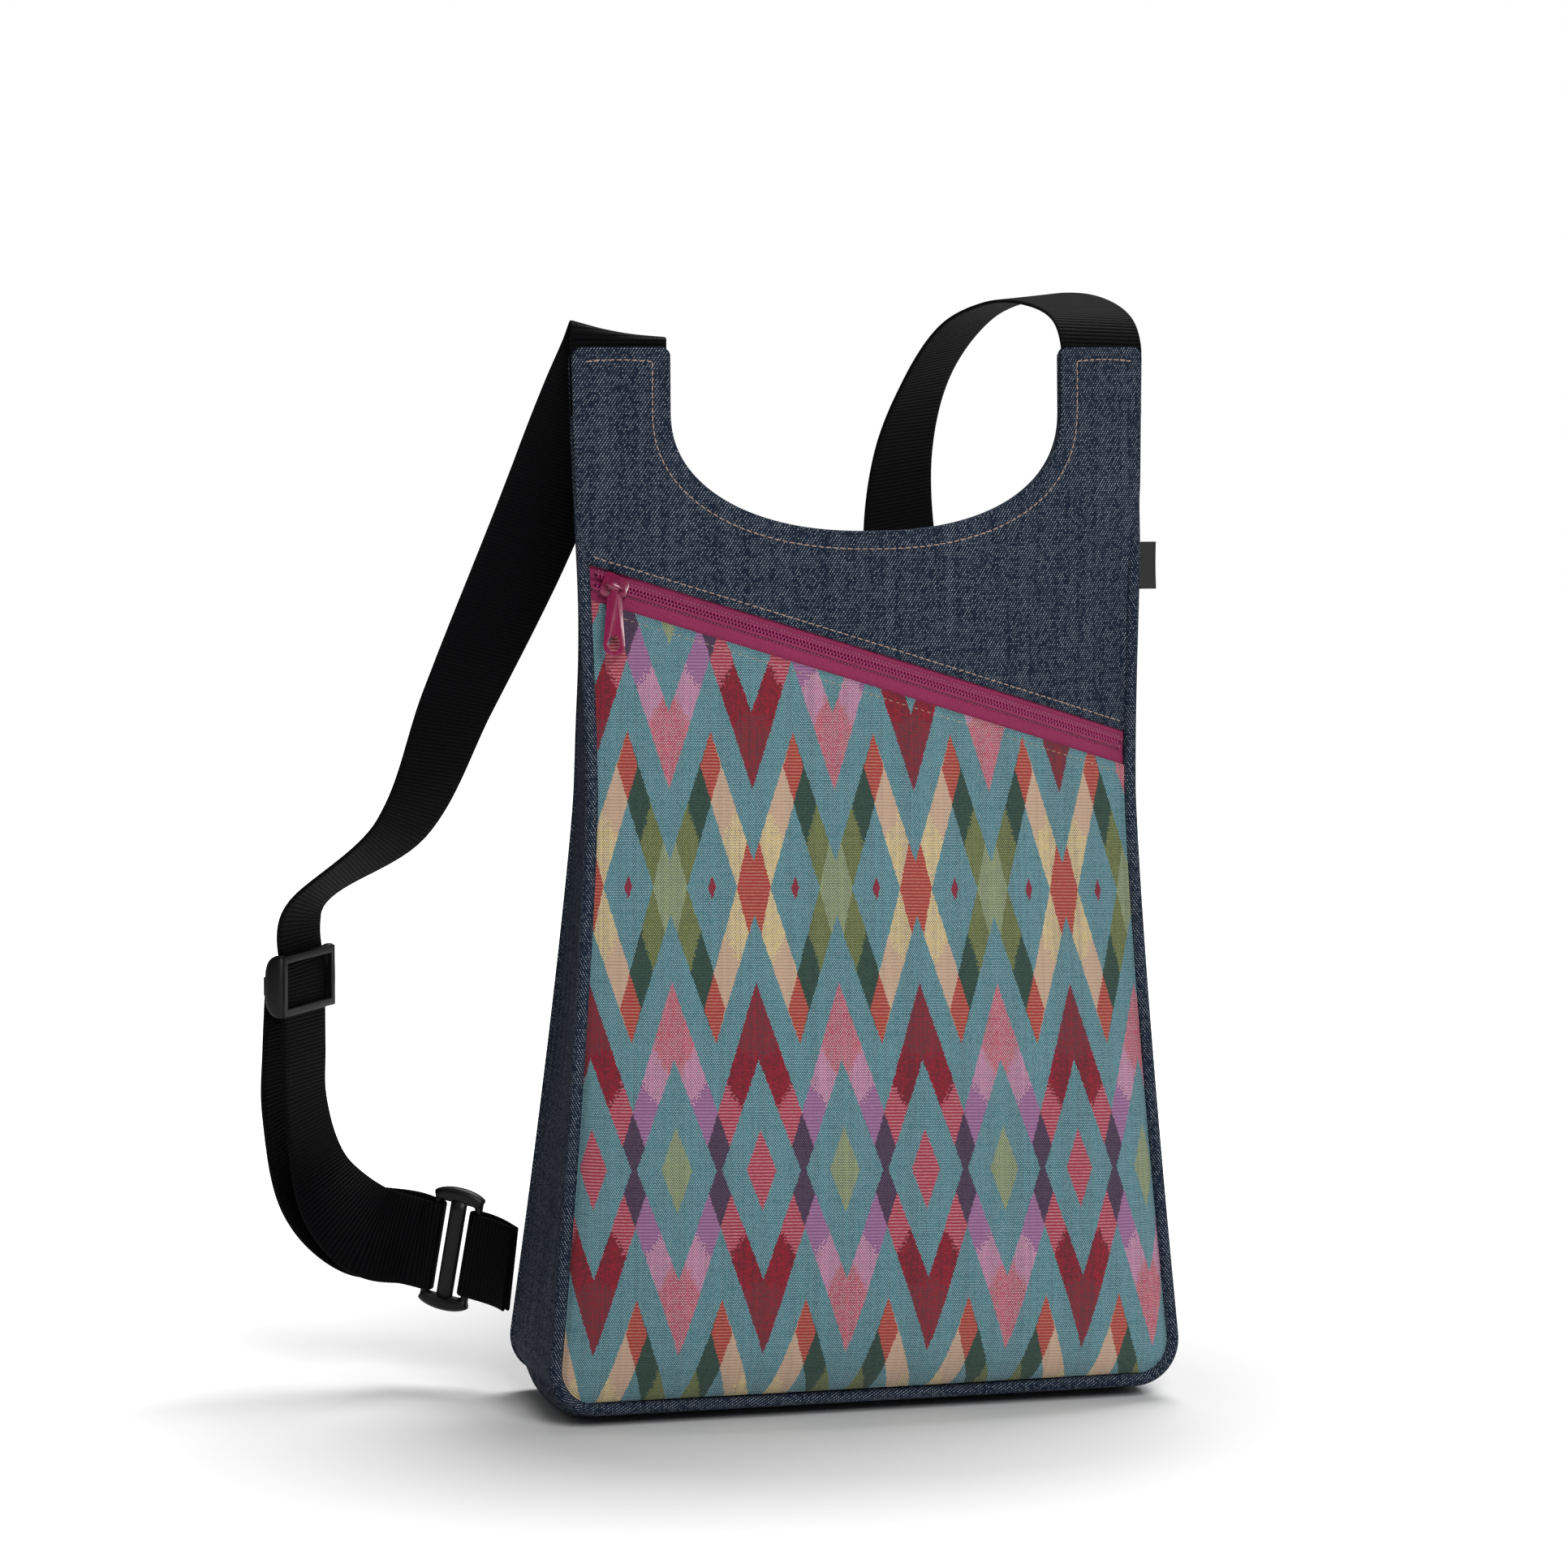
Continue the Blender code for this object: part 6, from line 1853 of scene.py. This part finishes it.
    def anchor(self) -> None:
        """Fold a webbing stub round the loop's bar and pinch it into the back side seam."""
        form, route = self.form, self.route
        bar = self.loop + self.loop_along * (self.bar + self.slot_gap)
        x, z = route.stub_end
        places = []
        for height in (z - 0.02, z, z + 0.02):
            depth = float(form.back_y(np.array(x), np.array(height)))
            places.append(np.array([route.sign * float(form.side_half(np.array(height))), depth, height]))
        seam_place = places[1] + np.array([route.sign * 0.0002, -form.cloth / 2, 0.0])
        seam_across = unit(places[2] - places[0])
        if np.dot(seam_across, self.loop_across) < 0.0:
            seam_across = -seam_across
        toward = unit(seam_place - bar)
        start = seam_place - toward * 5 * form.gap + np.array([route.sign * 4 * form.gap, 0.0, 0.0])
        pinch = (self.thickness + 3 * form.gap) / 2
        lead = bar + self.loop_along * np.linalg.norm(start - bar) * 0.5
        t = np.linspace(0.0, 1.0, 30)[:, None]
        middle = start * (1.0 - t) ** 2 + lead * 2.0 * t * (1.0 - t) + bar * t**2
        twist = smoothstep(0.0, 0.8, t)
        crosses = seam_across * (1.0 - twist) + self.loop_across * twist
        faces = unit(np.cross(unit(np.gradient(middle, axis=0)), crosses))
        if np.dot(faces[-1], self.loop_face) < 0.0:
            faces = -faces
        faces = unit(faces * (1.0 - t) + self.loop_face * t)
        spread = pinch + (self.wrap - pinch) * smoothstep(0.0, 0.9, t)
        turn = np.linspace(0.0, math.pi, 17)[1:-1][:, None]
        bend = bar + self.wrap * (self.loop_face * np.cos(turn) - self.loop_along * np.sin(turn))
        points = np.vstack([middle + faces * spread, bend, (middle - faces * spread)[::-1]])
        across = np.vstack([crosses, np.tile(self.loop_across, (len(bend), 1)), crosses[::-1]])
        item = self.ribbon(f"anchor_{route.side}_web", points, across, self.width - 0.002)
        dress(item, "anchor_" + route.side)

    def bar_piece(
        self, name: str, node: str, body: str, path: np.ndarray, up: np.ndarray, wide: np.ndarray,
        thick: np.ndarray,
    ) -> None:
        """Mould a bar along a path, with its half width and half thickness at each point."""
        along = unit(np.gradient(path, axis=0))
        up = np.broadcast_to(up, path.shape)
        side = unit(np.cross(along, up))
        ring = round_profile(1.0, 14)
        ring = np.sign(ring) * np.abs(ring) ** 0.8
        points = path[:, None] + side[:, None] * (wide[:, None] * ring[None, :, 0])[..., None]
        points = points + up[:, None] * (thick[:, None] * ring[None, :, 1])[..., None]
        cloth = np.zeros((len(path), len(ring) + 1, 2))
        item = link_piece(name, capped(grid_mesh(name, points, cloth, True)), self.plastic)
        dress(item, node, body)

    def mouldings(self) -> None:
        """Thicken the fittings: bowed ends and a broad middle bar on the loop, bowed ends on the adjuster."""
        side = self.route.side
        reach = self.bar + self.slot_gap + self.bar / 2
        turn = np.linspace(-1.0, 1.0, 25)
        bow = self.end_bow * (1.0 - turn**2)
        body_of_bar = np.sqrt(np.clip(1.0 - turn**4, 0.03, 1.0))
        wide, thick = (least + more * body_of_bar for least, more in self.loop_end_size)
        for sign, name in ((-1.0, "foot"), (1.0, "head")):
            path = (
                self.loop + self.loop_along * (turn * reach * self.end_reach)[:, None]
                + self.loop_across * (sign * (self.end_line + bow))[:, None]
            )
            self.bar_piece(f"loop_{side}_{name}", "loop_" + side, BAG, path, self.loop_face, wide, thick)
        span = np.linspace(-self.end_line, self.end_line, 9)[:, None]
        path = self.loop + self.loop_across * span
        wide, thick = (np.full(len(span), size) for size in self.loop_bar_size)
        self.bar_piece(f"loop_{side}_middle", "loop_" + side, BAG, path, self.loop_face, wide, thick)
        front = self.thickness / 2 + self.form.gap
        wide, thick = (least + more * body_of_bar for least, more in self.adjuster_end_size)
        for sign, name in ((-1.0, "inner"), (1.0, "outer")):
            path = (
                self.adjuster + self.down * (turn * self.adjuster_half)[:, None]
                + self.adjuster_across * (sign * (self.end_line + 0.5 * bow))[:, None]
                + self.adjuster_face * (front - self.adjuster_sink * body_of_bar)[:, None]
            )
            self.bar_piece(
                f"adjuster_{side}_{name}", "adjuster_" + side, side + "_adjuster",
                path, self.adjuster_face, wide, thick,
            )

    def build(self) -> None:
        """Make the strap and everything on it."""
        side = self.route.side
        self.strap()
        self.anchor()
        rounded_copy("adjuster_" + side, side + "_adjuster", self.plastic, 0.0007, self.nodes)
        rounded_copy("loop_" + side, BAG, self.plastic, 0.0004, self.nodes)
        self.mouldings()
        LOG.info("%s strap built", side)


@dataclass
class SideLabel:
    """Small folded ribbon sewn in the right-hand seam, left bare."""

    form: BagForm
    finish: Finish = field(default_factory=LabelCloth)
    reach: float = 0.0095
    hidden: float = 0.0045
    height: float = 0.020
    z: float = 0.3565
    sheet: float = 0.00032

    def build(self) -> None:
        """Fold the ribbon: two layers that meet in a narrow half circle at the tip."""
        form = self.form
        root = float(form.side_half(np.array(self.z))) - form.back_margin - self.hidden
        tip = root + self.reach + self.hidden
        fold = self.sheet / 2 + 0.0001
        turn = np.linspace(-math.pi / 2, math.pi / 2, 9)
        run = np.linspace(0.0, 1.0, 14)[:-1]
        x = np.concatenate([root + (tip - fold - root) * run, tip - fold + fold * np.cos(turn),
                            (tip - fold) + (root - tip + fold) * (run + run[1])])
        side = np.concatenate([np.full(run.shape, -fold), fold * np.sin(turn), np.full(run.shape, fold)])
        depth = float(form.seam_y(np.array(self.z))) + form.piping + form.gap + self.sheet + 0.0001
        z = np.linspace(self.z - self.height / 2, self.z + self.height / 2, 24)
        curl = 0.0006 * np.clip((x - root) / (tip - root), 0.0, 1.0)[None] ** 2 * np.sin(
            np.linspace(0.0, math.pi, 24)
        )[:, None]
        points = stack(x[None], depth + side[None] + form.lean * (z[:, None] - self.z) + curl, z[:, None])
        cloth = np.stack(np.broadcast_arrays(lengths(points, 1), z[:, None]), axis=-1)
        mesh = grid_mesh("side_label_ribbon", points, cloth, False, None)
        item = link_piece("side_label_ribbon", mesh, self.finish)
        skin = item.modifiers.new("ribbon thickness", "SOLIDIFY")
        skin.thickness = self.sheet
        skin.offset = 0.0
        dress(item, "side_label")
        LOG.info("side label built")


# Stage


@dataclass
class Studio:
    """White sweep, soft lamps and the camera of the photograph."""

    eye: tuple[float, float, float] = (-0.577, -2.059, 0.4505)
    yaw: float = 15.0
    pitch: float = 5.0
    focal: float = 115.6
    ambient: float = 0.13
    floor_size: float = 8.0
    floor_shift: float = 1.0
    fade_start: float = 0.16
    fade_width: float = 0.55
    floor_glow: float = 1.08

    def floor(self) -> None:
        """Lay a pale floor that keeps the bag's shadow and is white to the camera."""
        bpy.ops.mesh.primitive_plane_add(size=self.floor_size, location=(0.0, self.floor_shift, 0.0))
        floor = bpy.context.object
        floor.name = "floor"
        made = bpy.data.materials.new("floor paper")
        made.use_nodes = True
        shader = made.node_tree.nodes["Principled BSDF"]
        shader.inputs["Base Color"].default_value = (0.92, 0.92, 0.92, 1.0)
        shader.inputs["Roughness"].default_value = 0.9
        shader.inputs["Specular IOR Level"].default_value = 0.0
        shader.inputs["Emission Color"].default_value = (1.0, 1.0, 1.0, 1.0)
        graph = Graph(made.node_tree)
        path = graph.node("ShaderNodeLightPath")
        x, y, _ = graph.split(graph.place())
        back = y + self.floor_shift
        away = graph.math("SQRT", x * x + back * back)
        fade = ((away - self.fade_start) / self.fade_width).clamped() * self.floor_glow
        lift = graph.math("MULTIPLY", path.outputs["Is Camera Ray"], fade)
        graph.feed(shader.inputs["Emission Strength"], lift)
        floor.data.materials.append(made)

    def world(self) -> None:
        """Light evenly, and show white behind the bag."""
        world = bpy.data.worlds.new("studio")
        bpy.context.scene.world = world
        world.use_nodes = True
        graph = Graph(world.node_tree)
        back = world.node_tree.nodes["Background"]
        path = graph.node("ShaderNodeLightPath")
        back.inputs["Color"].default_value = (1.0, 1.0, 1.0, 1.0)
        extra = 1.0 - self.ambient
        level = graph.math("MULTIPLY_ADD", path.outputs["Is Camera Ray"], extra, third=self.ambient)
        graph.feed(back.inputs["Strength"], level)

    def lamp(self, name: str, place: Sequence[float], size: float, power: float) -> None:
        """Hang a soft square lamp that faces the bag."""
        data = bpy.data.lights.new(name, "AREA")
        data.shape = "SQUARE"
        data.size = size
        data.energy = power
        item = bpy.data.objects.new(name, data)
        bpy.context.scene.collection.objects.link(item)
        item.location = place
        aim = Vector((0.0, 0.0, 0.22)) - item.location
        item.rotation_euler = aim.to_track_quat("-Z", "Y").to_euler()

    def camera(self) -> None:
        """Place the camera at the photograph's angle."""
        data = bpy.data.cameras.new("camera")
        data.lens = self.focal
        data.sensor_width = 36.0
        item = bpy.data.objects.new("camera", data)
        bpy.context.scene.collection.objects.link(item)
        item.location = self.eye
        item.rotation_euler = (math.radians(90.0 - self.pitch), 0.0, -math.radians(self.yaw))
        bpy.context.scene.camera = item

    def build(self) -> None:
        """Set the stage."""
        self.floor()
        self.world()
        self.lamp("key", (0.02, -2.3, 1.45), 1.1, 40.0)
        self.lamp("top", (0.6, 0.6, 2.3), 1.4, 42.0)
        self.camera()
        bpy.context.scene.view_settings.view_transform = "Standard"


def main() -> None:
    """Dress every piece of the backpack and set the stage."""
    logging.basicConfig(level=logging.INFO, format="%(name)s: %(message)s")
    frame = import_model()
    nodes = frame["nodes"]
    form = BagForm()
    FrontPanel(form).build()
    FrontYoke(form).build()
    BackPanel(form).build()
    Gusset(form).build()
    Piping(form).build()
    Zip(form, nodes).build()
    SideLabel(form).build()
    Strap(form, LEFT, nodes).build()
    Strap(form, RIGHT, nodes).build()
    Studio().build()
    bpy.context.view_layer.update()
    LOG.info("sizes written")


if __name__ == "__main__":
    main()
